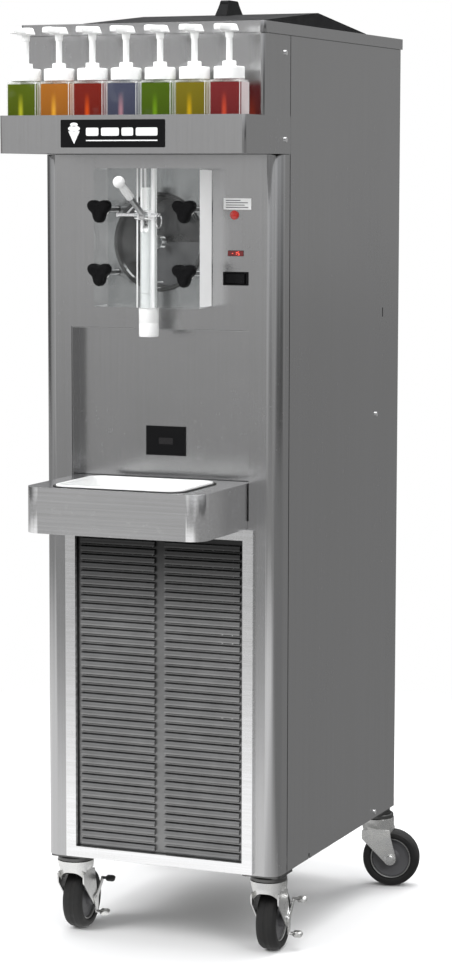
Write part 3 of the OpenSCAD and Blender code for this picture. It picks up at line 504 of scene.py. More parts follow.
def round_rect(width, depth, radius, steps=6):
    """Points of a rounded rectangle about the origin, counter-clockwise."""
    radius = max(min(radius, width / 2 - 1e-5, depth / 2 - 1e-5), 1e-5)
    points = []
    for sx, sy, start in ((1, 1, 0), (-1, 1, 90), (-1, -1, 180), (1, -1, 270)):
        cx, cy = sx * (width / 2 - radius), sy * (depth / 2 - radius)
        for k in range(steps + 1):
            a = math.radians(start + 90 * k / steps)
            points.append((cx + radius * math.cos(a), cy + radius * math.sin(a)))
    return points


def loft_box(bm, middle, levels, steps=6, loop=False):
    """Skins rounded rectangles (width, depth, radius, height) in millimetres, stacked along Z."""
    rings = []
    for level in levels:
        width, depth, radius, height = (v * MM for v in level)
        rings.append([middle + Vector((x, y, height))
                      for x, y in round_rect(width, depth, radius, steps)])
    add_rings(bm, rings, loop)


def slab(bm, outline, place, thickness, direction):
    """Pushes an outline of (a, b) points, placed by place(a, b), along direction by thickness."""
    add_rings(bm, [[place(a, b) for a, b in outline],
                   [place(a, b) + direction * thickness for a, b in outline]])


# ---- CAD nodes that keep their shape

def soften(node, width):
    """Rounds the edges of a CAD node with modifiers, which leave its mesh alone."""
    obj = frame["nodes"][node]
    weld = obj.modifiers.new("weld", "WELD")
    weld.merge_threshold = 1e-6
    round_edges(obj, width, 35)


def dress_cad():
    """Gives each CAD node the material of its slot in the record."""
    for part in frame["record"]["subparts"]:
        obj = frame["nodes"][part["node"]]
        material = MATERIALS[part["material_slot"]]
        for slot in obj.material_slots:
            slot.material = material
        if not obj.material_slots:
            obj.data.materials.append(material)
    # own looks for the shelf, the louvres, the caster plates and the cylinder; the last two are dark with painted
    # shade
    for node, name in (("drip_shelf", "shelf_stainless"), ("louvre_panel", "louvre_stainless"),
                       ("caster_plates", "race_painted_shade"), ("freezing_cylinder", "bore_painted_shade")):
        for slot in frame["nodes"][node].material_slots:
            slot.material = MATERIALS[name]


dress_cad()


# ---- the frame's own places

JOINTS = {joint["name"]: joint for joint in frame["joints"]}


def joint_at(name):
    return Vector(JOINTS[name]["pos_m"])


def mm_profile(*points, steps=4):
    """A filleted profile given in millimetres, in metres."""
    return [(p.x * MM, p.y * MM) for p in fillet(list(points), steps)]


# ---- door hardware

def knob_radius(angle):
    """A three-lobed outline: two lobes up, one down."""
    return 18.9 + 4.6 * math.cos(3 * (angle - math.radians(30)))


def build_knob(i):
    at = joint_at(f"knob_{i}_turn")
    low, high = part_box(f"door_knob_{i}")
    grip_depth = 20
    bm = bmesh.new()
    # inset of the outline at each depth: rounded back edge, crowned front
    levels = [(0, 12), (0, 2.6), (0.8, 1.0), (2.6, 0), (12.5, 0), (15.5, 0.7), (17.8, 2.2),
              (19.4, 4.6), (grip_depth, 8.0), (grip_depth - 0.4, 10.5), (grip_depth - 1.0, 11.5)]
    rings = []
    points = 96
    for depth, inset in levels:
        ring = []
        for k in range(points):
            a = 2 * math.pi * k / points
            r = max(knob_radius(a) - inset, 2.0)
            if 3 < depth < 16:
                # the hollows between the lobes are waisted at mid depth
                waist = math.sin(math.pi * (depth - 3) / 13)
                r -= 0.5 * max(0, math.cos(3 * (a - math.radians(90)))) * waist
            ring.append(Vector((at.x + r * math.cos(a) * MM, low.y + (grip_depth - depth) * MM,
                                at.z + r * math.sin(a) * MM)))
        rings.append(ring)
    add_rings(bm, rings)
    finish_mesh(f"knob_grip_{i}", bm, "black_plastic", f"knob_{i}",
                [f"door_knob_{i}"])
    bush = bmesh.new()
    front = low.y + grip_depth * MM
    long, bore = high.y - front, 5.1 * MM
    lathe_loop(bush, Vector((at.x, front, at.z)), Y,
               [(bore, 0.0), (8.6 * MM, 0.0), (9.2 * MM, 0.8 * MM), (9.4 * MM, long * 0.62),
                (11.2 * MM, long * 0.74), (11.4 * MM, long - 0.8 * MM), (10.9 * MM, long),
                (bore, long)], 48)
    finish_mesh(f"knob_bush_{i}", bush, "zinc_plate", f"knob_{i}")


def build_handle():
    pin = joint_at("handle_pull")
    crank = math.radians(30)
    out = Vector((0, -math.cos(crank), math.sin(crank)))
    back = -out
    across = X.cross(out)
    metal = bmesh.new()
    hub = mm_profile((0, -5), (7.2, -5, 0.8), (8, -4.4, 0.6), (8, 4.4, 0.6), (7.2, 5, 0.8), (0, 5))
    lathe(metal, pin, X, hub, 48)
    tip = mm_profile((0, -4.4), (5.4, -4.4, 0.8), (5.4, 4.4, 0.8), (0, 4.4))
    lathe(metal, pin + back * 25 * MM, X, tip, 32)
    for direction, start, stop, wide, deep in ((back, 2, 24, 7.6, 7.6), (out, 3, 80, 9.4, 9.0)):
        rings = []
        for t, inset in ((start, 1.0), (start + 1, 0), ((start + stop) / 2, 0), (stop - 1, 0),
                         (stop, 1.0)):
            width = wide - 2 * inset
            depth = deep - 2 * inset
            rings.append([pin + direction * t * MM + X * a * MM + across * b * MM
                          for a, b in round_rect(width, depth, 2.6 - inset)])
        add_rings(metal, rings)
    finish_mesh("draw_lever", metal, "lever_metal", "handle", ["draw_handle"])
    grip = bmesh.new()
    ball_at, ball_r, neck = 115, 10.5, 6.6
    ball = [(ball_r * math.sin(math.radians(a)), ball_at - ball_r * math.cos(math.radians(a)))
            for a in range(48, 181, 6)]
    sleeve = [(5.2, 61.6), (6.4, 61.6, 0.6), (7.2, 62.6, 0.6), (7.4, 84, 3), (neck, 101, 4),
              ball[0]]
    profile = [(r * MM, h * MM) for r, h in [tuple(p) for p in fillet(sleeve, 4)] + ball[1:]]
    lathe(grip, pin, out, profile, 48)
    finish_mesh("lever_grip", grip, "white_plastic", "handle", smooth=60)


def build_nozzle():
    low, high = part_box("spigot_nozzle")
    middle = centre("spigot_nozzle")
    base = Vector((middle.x, middle.y, low.z))
    tall, collar = (high.z - low.z) / MM, 51.8
    bm = bmesh.new()
    outline = mm_profile((11, 0.6), (11.6, 0, 0.3), (16.6, 0, 1.2), (17.5, 1.2, 0.8), (17.6, 24, 0),
                         (17.3, 24.6, 0), (17.3, 25.2, 0), (17.7, 25.8, 0),
                         (18.0, collar - 1.2, 0.6), (17.0, collar, 0.6), (14.9, collar, 0.3),
                         (14.9, tall - 0.6, 0.4), (14.4, tall, 0.2), (11.3, tall, 0.2),
                         (11, tall - 0.5))
    lathe_loop(bm, base, Z, outline, 72)
    finish_mesh("spigot_tube", bm, "white_plastic", "root", ["spigot_nozzle"])


def build_auger():
    at = joint_at("auger_spin")
    low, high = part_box("auger")
    outer, root, half = (high.x - at.x) - 0.1 * MM, 11.6 * MM, 2.2 * MM
    start, length, turns, steps = low.y + 24 * MM, 412 * MM, 4, 260
    bm = bmesh.new()
    rings = []
    for k in range(steps + 1):
        a = 2 * math.pi * turns * k / steps
        along = start + length * k / steps
        out = Vector((math.cos(a), 0, -math.sin(a)))
        section = ((root, -half), (outer - 3 * MM, -half), (outer - 0.8 * MM, -half * 0.7),
                   (outer, 0), (outer - 0.8 * MM, half * 0.7), (outer - 3 * MM, half),
                   (root, half))
        rings.append([Vector((at.x, along + t, at.z)) + out * r for r, t in section])
    add_rings(bm, rings)
    # the flight's dark grey is painted shade
    finish_mesh("auger_flight", bm, "auger_plastic", "auger", ["auger"])
    shaft = bmesh.new()
    long = (high.y - low.y) / MM
    lathe(shaft, Vector((at.x, low.y, at.z)), Y,
          mm_profile((0, 0), (11, 0, 1), (12, 2, 1), (12, long - 1.5, 1), (11, long, 0.5),
                     (0, long)), 48)
    finish_mesh("auger_shaft", shaft, "bright_stainless", "auger")


# ---- syrup bottles and pumps

# millimetres; the syrup stands FILL above the bottle's foot and leaves room for the pump's body
BOTTLE_W, BOTTLE_D, BOTTLE_H, WALL = 59.5, 44, 123, 1.8
NECK_R, NECK_H = 17, 13
FILL = 118.5
ROOM_R, ROOM_DEPTH = 10.4, 39
STEM_R = 5.8


def bottle_foot(i):
    low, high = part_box("syrup_bottles")
    return Vector((centre(f"pump_plunger_{i}").x, (low.y + high.y) / 2, low.z))


def build_bottles():
    shells = bmesh.new()
    w, d, h, t = BOTTLE_W, BOTTLE_D, BOTTLE_H, WALL
    iw, id_ = w - 2 * t, d - 2 * t
    neck = 2 * NECK_R
    # up the outside, over the neck's rim and down the inside
    levels = [(w - 10, d - 10, 4, 0), (w - 4, d - 4, 5, 0), (w - 1.2, d - 1.2, 6, 1.2),
              (w, d, 6, 4), (w, d, 6, h - 6), (w - 1, d - 1, 6, h - 2.5),
              (w - 4, d - 4, 5.5, h - 0.6), (w - 9, d - 9, 8, h),
              (neck + 3, neck + 3, NECK_R + 1.5, h + 0.2), (neck, neck, NECK_R, h + 1.6),
              (neck, neck, NECK_R, h + NECK_H - 0.6),
              (neck - 1, neck - 1, NECK_R - 0.5, h + NECK_H),
              (neck - 4, neck - 4, NECK_R - 2, h + NECK_H), (neck - 4, neck - 4, NECK_R - 2, h - t),
              (w - 10, d - 8, 8, h - t), (iw - 3, id_ - 3, 4, h - t - 0.8),
              (iw, id_, 4, h - t - 3.5), (iw, id_, 4, t + 3), (iw - 3, id_ - 3, 3, t),
              (w - 14, d - 14, 3, t)]
    for i in BOTTLES:
        loft_box(shells, bottle_foot(i), levels)
    finish_mesh("bottle_shells", shells, "bottle_plastic", "root",
                ["syrup_bottles"])
    w, d = iw - 0.3, id_ - 0.3
    base, room = WALL + 0.2, 2 * ROOM_R
    levels = [(w - 8, d - 8, 3, base), (w - 2, d - 2, 4, base + 0.4), (w, d, 4, base + 3),
              (w, d, 4, FILL - 0.4), (w - 0.4, d - 0.4, 4, FILL), (w - 5, d - 5, 3, FILL - 0.9),
              (w - 14, d - 14, 3, FILL - 1.1), (room, room, ROOM_R, FILL - 1.1),
              (room, room, ROOM_R, BOTTLE_H - ROOM_DEPTH)]
    for i in BOTTLES:
        # each syrup glows with painted light
        MATERIALS.update([syrup(f"syrup_{i}", *SYRUPS[i - 1], bottle_foot(i))])
        liquid = bmesh.new()
        loft_box(liquid, bottle_foot(i), levels)
        finish_mesh(f"syrup_{i}", liquid, f"syrup_{i}", "root")


CAP_R, CAP_H, COLLAR_H = 26.6, 21, 9.5


def build_pump_caps():
    """Ribbed screw caps with the pump's body and its dip tube below."""
    caps, bodies = bmesh.new(), bmesh.new()
    top, thread = CAP_H + COLLAR_H, NECK_R + 0.7
    outside = mm_profile((18.4, 0), (CAP_R - 0.4, 0, 0.3), (CAP_R, 1.2, 0.6),
                         (CAP_R, CAP_H - 1.4, 1.0), (CAP_R - 1.6, CAP_H, 1.0), (13.6, CAP_H, 0.6),
                         (11.8, CAP_H + 1.6, 1.0), (11.8, top - 1.2, 0.6), (10.8, top, 0.6),
                         (8.6, top, 0.2), (8.2, top - 0.7, 0.2), (STEM_R, top - 0.7))
    inside = mm_profile((STEM_R, CAP_H - 1), (thread, CAP_H - 3), (thread, 0.4))
    # the body hangs in the bottle, hollow for the stem
    body = mm_profile((0, -38), (3.6, -38), (9, -37.4, 1), (10, -35.5, 1), (10, -2, 0), (12, 0, 0),
                      (STEM_R, 0), (STEM_R, -36), (0, -36), steps=3)
    depth = BOTTLE_H - 8
    tube = mm_profile((0, -depth), (3, -depth, 0.4), (3.2, -depth + 1, 0.4), (3.2, -37.8, 0),
                      (0, -37.8), steps=3)
    for i in BOTTLES:
        at = bottle_foot(i) + Z * (BOTTLE_H + 1) * MM
        lathe_ribbed(caps, at, outside + inside, 96)
        lathe(bodies, at, Z, body, 40)
        lathe(bodies, at, Z, tube, 24)
    finish_mesh("pump_cap_set", caps, "white_plastic", "root", ["pump_caps"],
                smooth=50)
    finish_mesh("pump_body_set", bodies, "white_plastic", "root")


def lathe_ribbed(bm, at, profile, sides):
    """A closed profile turned about Z, whose skirt has fine grip ribs."""
    rings = []
    for radius, height in profile:
        ring = []
        for k in range(sides):
            a = 2 * math.pi * k / sides
            skirt = 1.5 * MM < height < (CAP_H - 3) * MM and radius > 25 * MM
            r = radius - (0.45 * MM if skirt and k % 3 == 0 else 0)
            ring.append(at + Vector((r * math.cos(a), r * math.sin(a), height)))
        rings.append(ring)
    add_rings(bm, rings, loop=True)


def build_plunger(i):
    low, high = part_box(f"pump_plunger_{i}")
    foot = bottle_foot(i)
    at = Vector((foot.x, foot.y, 0))
    head_z = high.z - 12 * MM
    reach = foot.y - low.y
    bm = bmesh.new()
    stem = head_z - low.z - 11 * MM
    lathe(bm, at + Z * low.z, Z,
          [(0, 0), (5.0 * MM, 0), (5.4 * MM, 0.5 * MM), (5.4 * MM, stem), (0, stem)], 32)
    neck = mm_profile((0, -11.5), (5.9, -11.5, 0.6), (6.5, -10.6, 0.6), (7.4, -1.4, 1.0),
                      (8.4, 0.6, 0), (0, 0.6))
    lathe(bm, at + Z * head_z, Z, neck, 40)
    disc = mm_profile((0, 0), (15.8, 0, 0.6), (16.5, 1.2, 0.8), (12.9, 10.8, 1.2),
                      (11.4, 12.0, 0.8), (7.5, 11.6, 2), (0, 11.2))
    lathe(bm, at + Z * head_z, Z, disc, 56)
    # spout: a rounded, tapering beak that points forward
    rings = []
    for share, half, bottom, top in ((0.08, 7.6, 0.6, 11.2), (0.30, 7.4, 0.4, 11.4),
                                     (0.55, 7.0, 0.2, 11.2), (0.80, 6.9, 0.0, 11.0),
                                     (0.93, 6.6, 0.0, 10.4), (0.985, 6.2, 0.3, 9.8),
                                     (1.0, 5.2, 1.2, 8.8)):
        middle = at + Vector((0, -reach * share, head_z + (bottom + top) / 2 * MM))
        rings.append([middle + X * a * MM + Z * b * MM
                      for a, b in round_rect(2 * half, top - bottom, 2.6, 4)])
    add_rings(bm, rings)
    finish_mesh(f"pump_head_{i}", bm, "white_plastic", f"pump_{i}",
                [f"pump_plunger_{i}"], smooth=45)


# ---- tray, plates and marks

def build_tray():
    low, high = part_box("drip_tray")
    middle = centre("drip_tray")
    w, d = (high.x - low.x) / MM, (high.y - low.y) / MM
    h = (high.z - low.z) / MM
    inset, wall, rim, floor = 6.8, 2.4, 3.7, 2.5
    r = 28
    # width and depth less than the rim's, corner radius, height: up the outside, down the inside
    well = 2 * inset
    dish = well + 2 * wall
    levels = [(well + 24, 12, 0), (well + 6, 18, 0), (well + 1.6, 20.4, 1.6), (well, 21.2, 5),
              (well, 21.2, h - rim), (1, r - 0.5, h - rim), (0, r, h - rim + 0.8), (0, r, h - 1.4),
              (1, r - 0.5, h - 0.3), (2.4, r - 1.2, h), (well - 2, 22, h),
              (dish - 2.4, 20, h - 0.6), (dish, 18.8, h - 3), (dish, 18.8, floor + 6),
              (dish + 3.5, 17, floor + 1.8), (dish + 11, 14, floor), (well + 60, 10, floor)]
    bm = bmesh.new()
    loft_box(bm, Vector((middle.x, middle.y, low.z)),
             [(w - less, d - less, radius, z) for less, radius, z in levels], 10)
    finish_mesh("tray_shell", bm, "white_plastic", "tray", ["drip_tray"],
                smooth=50)
    # black gasket on the deck around the tray's rim
    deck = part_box("drip_shelf")[1].z / MM
    bm = bmesh.new()
    loft_box(bm, Vector((middle.x, middle.y, 0)),
             [(w + 0.8, d + 0.8, r + 0.4, deck + 0.1), (w + 11, d + 6, r + 4, deck + 0.1),
              (w + 12, d + 7, r + 4.5, deck + 0.6), (w + 11, d + 6, r + 4, deck + 1.6),
              (w + 2.4, d + 2.4, r + 1.2, deck + 1.6), (w + 0.8, d + 0.8, r + 0.4, deck + 1.1)],
             10, loop=True)
    finish_mesh("tray_gasket", bm, "seal_rubber", "root")


def plate_mark(bm, node, outline, raised=0.25):
    """A flat shape in x and z millimetres from the node's middle, printed on its front."""
    low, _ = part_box(node)
    at = centre(node)
    slab(bm, outline, lambda a, b: Vector((at.x + a * MM, low.y - raised * MM, at.z + b * MM)),
         raised * MM * 0.9, Y)


def bar(x0, x1, z0, z1, radius):
    return [((x0 + x1) / 2 + a, (z0 + z1) / 2 + b)
            for a, b in round_rect(x1 - x0, z1 - z0, radius, 3)]


def build_marks():
    """A generic cone and bars on the name plate, and ruled lines on the instruction plate."""
    bm = bmesh.new()
    cone = [(-84, 4), (-62, 4), (-73, -18)]
    plate_mark(bm, "name_plate", cone)
    for radius, z in ((11.5, 8.5), (7.5, 15.5)):
        plate_mark(bm, "name_plate", [(-73 + radius * math.cos(a), z + radius * 0.45 * math.sin(a))
                                      for a in (math.radians(15 * k) for k in range(24))])
    for x0, x1 in ((-50, -26), (-21, 13), (18, 40), (45, 86)):
        plate_mark(bm, "name_plate", bar(x0, x1, -4, 10, 2.5))
    plate_mark(bm, "name_plate", bar(-50, 86, -13, -11, 0.8))
    finish_mesh("plate_mark", bm, "print_white", "root")
    bm = bmesh.new()
    for row, (x0, x1) in enumerate(((-22, 6), (-22, 20), (-22, 14), (-22, 21))):
        z = 6.2 - 4.1 * row
        plate_mark(bm, "instruction_plate", bar(x0, x1, z - 0.7, z + 0.7, 0.5), 0.15)
    finish_mesh("instruction_lines", bm, "print_ink", "root")


SEGMENTS = {"-": "g", "1": "bc", "5": "acdfg"}


def build_digits():
    """Seven-segment digits on the display."""
    bm = bmesh.new()
    w, h, t = 3.0, 5.6, 0.75
    # middle of each segment, and whether it lies flat
    places = {"a": (0, h / 2, True), "g": (0, 0, True), "d": (0, -h / 2, True),
              "f": (-w / 2, h / 4, False), "b": (w / 2, h / 4, False), "c": (w / 2, -h / 4, False)}
    for k, digit in enumerate("-15"):
        for name in SEGMENTS[digit]:
            x, z, flat = places[name]
            x += (k - 1) * 5.6
            half = (w / 2 - 0.4, t / 2) if flat else (t / 2, h / 4 - 0.35)
            plate_mark(bm, "temperature_display",
                       bar(x - half[0], x + half[0], z - half[1], z + half[1], 0.3), 0.2)
    finish_mesh("display_digits", bm, "digit", "root")


def build_sensor_window():
    low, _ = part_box("cup_sensor")
    at = centre("cup_sensor")
    bm = bmesh.new()
    slab(bm, round_rect(28.4, 12.0, 1.2, 4),
         lambda a, b: Vector((at.x + a * MM, low.y + 0.9 * MM, at.z + b * MM - 0.25 * MM)),
         0.5 * MM, Y)
    finish_mesh("sensor_window", bm, "sensor_glass", "root")


# ---- casters

def caster_frame(i):
    """Swivel axis, the wheel's centre, the wheel's axis and the direction of the trail."""
    swivel, hub = joint_at(f"fork_{i}_swivel"), joint_at(f"wheel_{i}_roll")
    axis = Vector(JOINTS[f"wheel_{i}_roll"]["axis"]).normalized()
    trail = (Vector((hub.x, hub.y, 0)) - Vector((swivel.x, swivel.y, 0))).normalized()
    if axis.cross(trail).z < 0:
        axis = -axis
    return swivel, hub, axis, trail


def build_wheel(i):
    _, hub, axis, _ = caster_frame(i)
    radius = hub.z / MM - 0.05
    half = 19
    bm = bmesh.new()
    tyre = mm_profile((40.5, -half + 3.5), (42, -half + 1.2, 0.8), (46, -half, 2),
                      (radius - 5, -half + 0.4, 3), (radius - 0.9, -half + 6, 4), (radius, -4, 0),
                      (radius - 0.5, -3.4, 0), (radius - 0.5, 3.4, 0), (radius, 4, 0),
                      (radius - 0.9, half - 6, 4), (radius - 5, half - 0.4, 3), (46, half, 2),
                      (42, half - 1.2, 0.8), (40.5, half - 3.5), steps=5)
    lathe_loop(bm, hub, axis, tyre, 96)
    finish_mesh(f"tyre_{i}", bm, "caster_tyre", f"wheel_{i}", [f"caster_wheel_{i}"])
    bm = bmesh.new()
    for side in (-1, 1):
        ring = mm_profile((37.4, 10), (37.6, half - 4.6, 0.8), (39.2, half - 3.4, 0.8),
                          (40.4, half - 4.2, 0.6), (40.4, 10))
        lathe_loop(bm, hub, axis * side, ring, 96)
    finish_mesh(f"hub_ring_{i}", bm, "ring_metal", f"wheel_{i}")
    bm = bmesh.new()
    face = half - 8
    disc = [(5.1, -23), (12.2, -23, 0.8), (13, -21, 0.8), (13.4, -face - 1, 2),
            (18, -face + 2.6, 3), (30, -face + 2.2, 2), (36.8, -face - 1.6, 1), (37.3, -10, 0)]
    both = disc + [(x, -y, *rest) for x, y, *rest in reversed(disc)]
    lathe_loop(bm, hub, axis, mm_profile(*both), 72)
    finish_mesh(f"hub_{i}", bm, "hub_plastic", f"wheel_{i}")


def build_fork(i):
    """Pressed fork: a round crown, open in an arch over the wheel, and two legs to the axle."""
    swivel, hub, axis, trail = caster_frame(i)
    _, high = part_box(f"caster_fork_{i}")
    foot = Vector((swivel.x, swivel.y, 0))
    slot_half, plate = 27, 3
    top = high.z / MM
    crown_r = 34.5
    bm = bmesh.new()
    rings_out, rings_in = [], []
    steps, rows = 72, 8
    for row in range(rows + 1):
        share = row / rows
        ring_out, ring_in = [], []
        for k in range(steps):
            a = 2 * math.pi * k / steps
            side = abs(math.cos(a))
            # the lower edge hangs low at the sides and rises to an arch in front and behind
            edge = 116 - 30 * side ** 3 - (4 if math.sin(a) > 0 else 0) * side
            z = (top - 8.5) * (1 - share) + edge * share
            flare = 1 - 0.10 * min(1, share * 1.6)
            for ring, thick in ((ring_out, 0), (ring_in, plate)):
                r = crown_r - thick
                x = r * flare * math.cos(a)
                if share > 0.25:
                    # flattened to the legs' planes
                    x = max(thick - slot_half, min(slot_half - thick, x))
                y = r * flare * math.sin(a) * (1 + 0.05 * share) + 4 * share
                ring.append(foot + axis * x * MM + trail * y * MM + Z * z * MM)
        rings_out.append(ring_out)
        rings_in.append(ring_in)
    add_rings(bm, rings_out + list(reversed(rings_in)), loop=True)
    # the cup above the crown, which turns round the fixed race; it is dark with painted shade from the cabinet
    # above
    cup = bmesh.new()
    lathe_loop(cup, foot, Z,
               mm_profile((28.6, top - 9), (32, top - 9, 1), (33.4, top - 7, 1.2),
                          (33.4, top - 2, 1.2), (32, top, 0.8), (28.6, top, 0.3)), 64)
    finish_mesh(f"fork_cup_{i}", cup, "race_painted_shade", f"fork_{i}")
    # legs, just proud of the crown's flats, with a nut on each side that has no brake
    outline = fillet([(-27, 104), (-26, 96, 6), (19.5, 50.5, 10), (24, 45.5, 8), (36, 45.5, 8),
                      (42, 52, 8), (42, 62, 10), (32, 100, 10), (30, 116, 4), (-26, 116, 4),
                      (-27, 104)], 5)[:-1]
    nut = mm_profile((0, 0.2), (11.6, 0.2), (11.6, 1.0, 0.3), (8.4, 1.2, 0), (8.2, 4.4, 0.6),
                     (6.4, 5.2, 0.4), (0, 5.2))
    for side in (-1, 1):
        base = foot + axis * side * (slot_half - plate + 0.2) * MM
        slab(bm, outline, lambda a, b: base + trail * a * MM + Z * b * MM,
             plate * MM, axis * side)
        if i not in BRAKED or side < 0:
            lathe(bm, hub + axis * side * slot_half * MM, axis * side, nut, 48)
    long = 2 * slot_half + 8
    lathe(bm, hub - axis * (slot_half + 4) * MM, axis,
          mm_profile((0, 0), (5, 0), (5, long), (0, long)), 24)
    finish_mesh(f"fork_shell_{i}", bm, "zinc_plate", f"fork_{i}",
                [f"caster_fork_{i}"], smooth=38, bevel=0.0006)


def build_brake(i):
    """Side brake: a pressed lever with a pad up behind and a pedal low in front."""
    _, hub, axis, trail = caster_frame(i)
    bm = bmesh.new()
    x0 = 27.3
    arm = fillet([(-9, -4), (-8, 7, 6), (4, 10, 6), (30, 33, 6), (37, 30, 3), (37, 26, 3),
                  (12, 2, 8), (9, -24, 5), (5, -28, 3), (-2, -27, 3), (-4, -14, 8), (-9, -4)],
                 5)[:-1]
    slab(bm, arm, lambda a, b: hub + axis * x0 * MM + trail * a * MM + Z * b * MM, 2.6 * MM, axis)
    finish_mesh(f"brake_arm_{i}", bm, "zinc_plate", f"brake_{i}",
                [f"brake_lever_{i}"], bevel=0.0006)
    pad_material = "brake_pad" if i == 1 else "zinc_plate"
    for name, angle, near, far, wide, material in (("pad", 42, 40, 53, 9, pad_material),
                                                   ("pedal", -78, 22, 33, 15, "zinc_plate")):
        turn = math.radians(angle)
        along = trail * math.cos(turn) + Z * math.sin(turn)
        across = Z * math.cos(turn) - trail * math.sin(turn)
        bm = bmesh.new()
        rings = []
        for x, inset in ((-1.5, 3.6), (8, 3.4), (10, 1.0), (12, 0.2), (21, 0), (24.5, 0.8),
                         (26, 2.4), (26.6, 3.6)):
            section = round_rect(far - near - 2 * inset, wide - 2 * inset, 4.2 - 0.6 * inset, 5)
            middle = hub + axis * (x0 + x) * MM
            rings.append([middle + along * (near + (far - near) / 2 + a) * MM + across * b * MM
                          for a, b in section])
        add_rings(bm, rings)
        finish_mesh(f"brake_{name}_{i}", bm, material, f"brake_{i}", smooth=50)


def build_all():
    # four knobs and four casters
    for i in CASTERS:
        build_knob(i)
        build_wheel(i)
        build_fork(i)
    for i in BRAKED:
        build_brake(i)
    for i in BOTTLES:
        build_plunger(i)
    build_handle()
    build_nozzle()
    build_auger()
    build_bottles()
    build_pump_caps()
    build_tray()
    build_marks()
    build_digits()
    build_sensor_window()


# width of the rounding on the edges of CAD nodes that keep their shape
SOFTENED = {"freezer_door": 0.0008, "hopper_cover": 0.0012, "drip_shelf": 0.0006,
            "head_housing": 0.0006, "syrup_rail": 0.0006, "top_cap": 0.0006,
            "front_panel": 0.0005, "splash_panel": 0.0004, "grille_frame": 0.0006,
            "name_plate": 0.0004, "switch_bezel": 0.0008, "rocker_switch": 0.0006,
            "cup_sensor": 0.0006, "temperature_display": 0.0003, "instruction_plate": 0.0002}
for soft_node, soft_width in SOFTENED.items():
    soften(soft_node, soft_width)
build_all()


# ---- stage, light and camera

# fitted to corners read off the photo; the focal length is in pixels of its height
CAMERA_AT = Vector((2.0299, -4.7295, 1.4097))
YAW, PITCH, ROLL = (math.radians(a) for a in (22.85, 6.39, 0.12))
LENS_OVER_HEIGHT = 2754.9 / 971
SENSOR_HEIGHT = 36


def make_camera():
    data = bpy.data.cameras.new("camera")
    data.sensor_fit = "VERTICAL"
    data.sensor_height = SENSOR_HEIGHT
    data.lens = SENSOR_HEIGHT * LENS_OVER_HEIGHT
    data.clip_end = 60
    camera = new_object("camera", data)
    ahead = Vector((-math.sin(YAW) * math.cos(PITCH), math.cos(YAW) * math.cos(PITCH),
                    -math.sin(PITCH)))
    right = Vector((math.cos(YAW), math.sin(YAW), 0))
    up = right.cross(ahead)
    turn = Matrix((right, up, -ahead)).transposed().to_4x4()
    camera.matrix_world = Matrix.Translation(CAMERA_AT) @ turn @ Matrix.Rotation(ROLL, 4, "Z")
    bpy.context.scene.camera = camera


def make_floor():
    bm = bmesh.new()
    for x, y in ((-30, -30), (30, -30), (30, 30), (-30, 30)):
        bm.verts.new((x, y, 0))
    bm.faces.new(bm.verts)
    s = Shader("floor", Roughness=0.6)
    mesh_object("floor", bm, s.material)
    mottle = s.noise(3, 3.0)
    s.set(s.bsdf, {"Base Color": s.tint(s.span(mottle, 0, 1), grey(0.86), grey(0.88))})
    # the floor fades to the white backdrop away from the object, and reflects darker in the steel
    length = s.add("VectorMath", {"operation": "LENGTH"})
    s.links.new(s.place, length.inputs[0])
    reach = length.outputs["Value"]
    backdrop = s.add("Emission", Color=grey(1.0)).outputs[0]
    seen = s.blend(s.span(reach, 0, 1, 0.9, 2.4), s.bsdf.outputs[0], backdrop)
    place = s.add("SeparateXYZ", Vector=s.place)
    behind = s.span(s.math("ADD", place.outputs["X"], place.outputs["Y"]), 0, 1, -0.5, 0.4)
    far = s.span(reach, 0.36, 0.50, 12, 26)
    near = s.span(reach, 0.68, 0, 1.4, 3.8)
    ahead = s.math("ADD", far, near)
    ahead = s.add("CombineColor", Red=ahead, Green=ahead, Blue=ahead).outputs[0]
    mirrored = s.add("Emission", Color=s.tint(behind, ahead, grey(0.27))).outputs[0]
    final = s.blend(s.add("LightPath").outputs["Is Camera Ray"], mirrored, seen)
    s.links.new(final, s.output.inputs["Surface"])


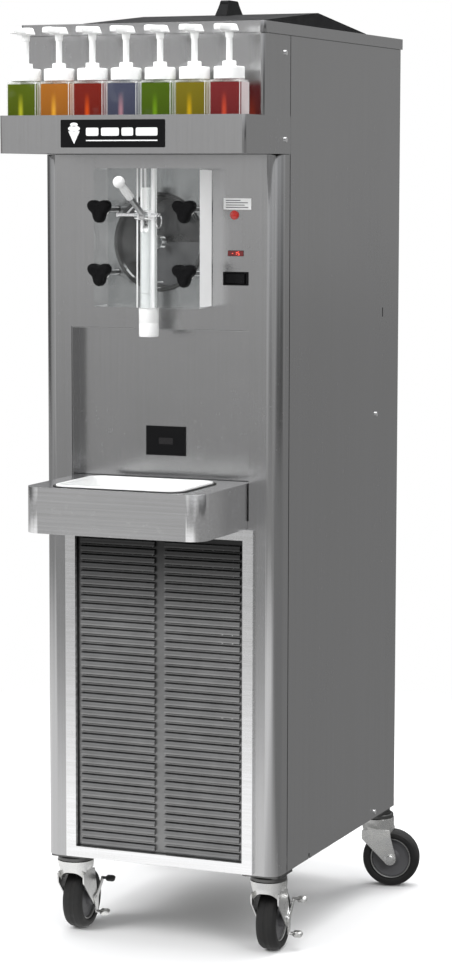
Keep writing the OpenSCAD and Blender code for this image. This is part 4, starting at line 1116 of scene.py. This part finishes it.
def make_world():
    """White to the camera, and for reflections a studio with soft bright and dark stretches."""
    world = bpy.data.worlds.new("studio")
    bpy.context.scene.world = world
    world.use_nodes = True
    nodes, links = world.node_tree.nodes, world.node_tree.links
    nodes.clear()
    output = nodes.new("ShaderNodeOutputWorld")
    coordinate = nodes.new("ShaderNodeTexCoord")
    parts = nodes.new("ShaderNodeSeparateXYZ")
    links.new(coordinate.outputs["Generated"], parts.inputs[0])
    flip = nodes.new("ShaderNodeMath")
    flip.operation = "MULTIPLY"
    flip.inputs[1].default_value = -1
    links.new(parts.outputs["Y"], flip.inputs[0])
    angle = nodes.new("ShaderNodeMath")
    angle.operation = "ARCTAN2"
    links.new(parts.outputs["X"], angle.inputs[0])
    links.new(flip.outputs[0], angle.inputs[1])
    share = nodes.new("ShaderNodeMapRange")
    share.inputs["From Min"].default_value = -math.pi
    share.inputs["From Max"].default_value = math.pi
    links.new(angle.outputs[0], share.inputs["Value"])
    # brightness around the horizon, by angle from straight in front, positive to the right
    around = nodes.new("ShaderNodeValToRGB")
    stops = ((-180, 0.30), (-150, 0.14), (-90, 0.10), (-60, 0.45), (-34, 0.62), (-14, 0.62),
             (4, 0.30), (24, 0.30), (38, 0.46), (50, 0.46), (64, 0.14), (116, 0.10), (140, 0.36),
             (180, 0.30))
    ramp = around.color_ramp
    for i, (degrees, value) in enumerate(stops):
        at = (degrees + 180) / 360
        stop = ramp.elements[i] if i < 2 else ramp.elements.new(at)
        stop.position = at
        stop.color = (*grey(value), 1)
    links.new(share.outputs[0], around.inputs[0])
    # brighter overhead
    above = nodes.new("ShaderNodeMapRange")
    set_range(above, 0.12, 0.75, 0.0, 0.85)
    links.new(parts.outputs["Z"], above.inputs["Value"])
    both = nodes.new("ShaderNodeMix")
    both.data_type = "RGBA"
    both.inputs[MIX_SECOND].default_value = (0.95, 0.96, 0.98, 1)
    links.new(above.outputs[0], both.inputs["Factor"])
    links.new(around.outputs[0], both.inputs[MIX_FIRST])
    studio = nodes.new("ShaderNodeBackground")
    links.new(both.outputs[MIX_RESULT], studio.inputs["Color"])
    white = nodes.new("ShaderNodeBackground")
    white.inputs["Color"].default_value = (1, 1, 1, 1)
    path = nodes.new("ShaderNodeLightPath")
    mix = nodes.new("ShaderNodeMixShader")
    links.new(path.outputs["Is Camera Ray"], mix.inputs[0])
    links.new(studio.outputs[0], mix.inputs[1])
    links.new(white.outputs[0], mix.inputs[2])
    links.new(mix.outputs[0], output.inputs["Surface"])


def area_light(name, place, target, size, power, mirrored):
    """A square light; mirrored says whether it shows in reflections."""
    data = bpy.data.lights.new(name, "AREA")
    data.shape = "RECTANGLE"
    data.size = data.size_y = size
    data.energy = power
    light = new_object(name, data)
    place, target = Vector(place), Vector(target)
    turn = (target - place).to_track_quat("-Z", "Y").to_matrix().to_4x4()
    light.matrix_world = Matrix.Translation(place) @ turn
    light.visible_glossy = mirrored


def light_stage():
    middle = (0, 0, 0.9)
    area_light("key", (-2.6, -3.4, 3.6), middle, 2.4, 190, False)
    area_light("fill", (3.2, -2.2, 2.6), middle, 2.0, 60, False)
    area_light("top", (0.2, 0.4, 4.2), (0, 0, 0), 3.2, 150, True)
    area_light("rear", (1.5, 3.4, 2.6), middle, 2.0, 60, False)


make_camera()
make_floor()
make_world()
light_stage()
bpy.context.scene.view_settings.view_transform = "Standard"
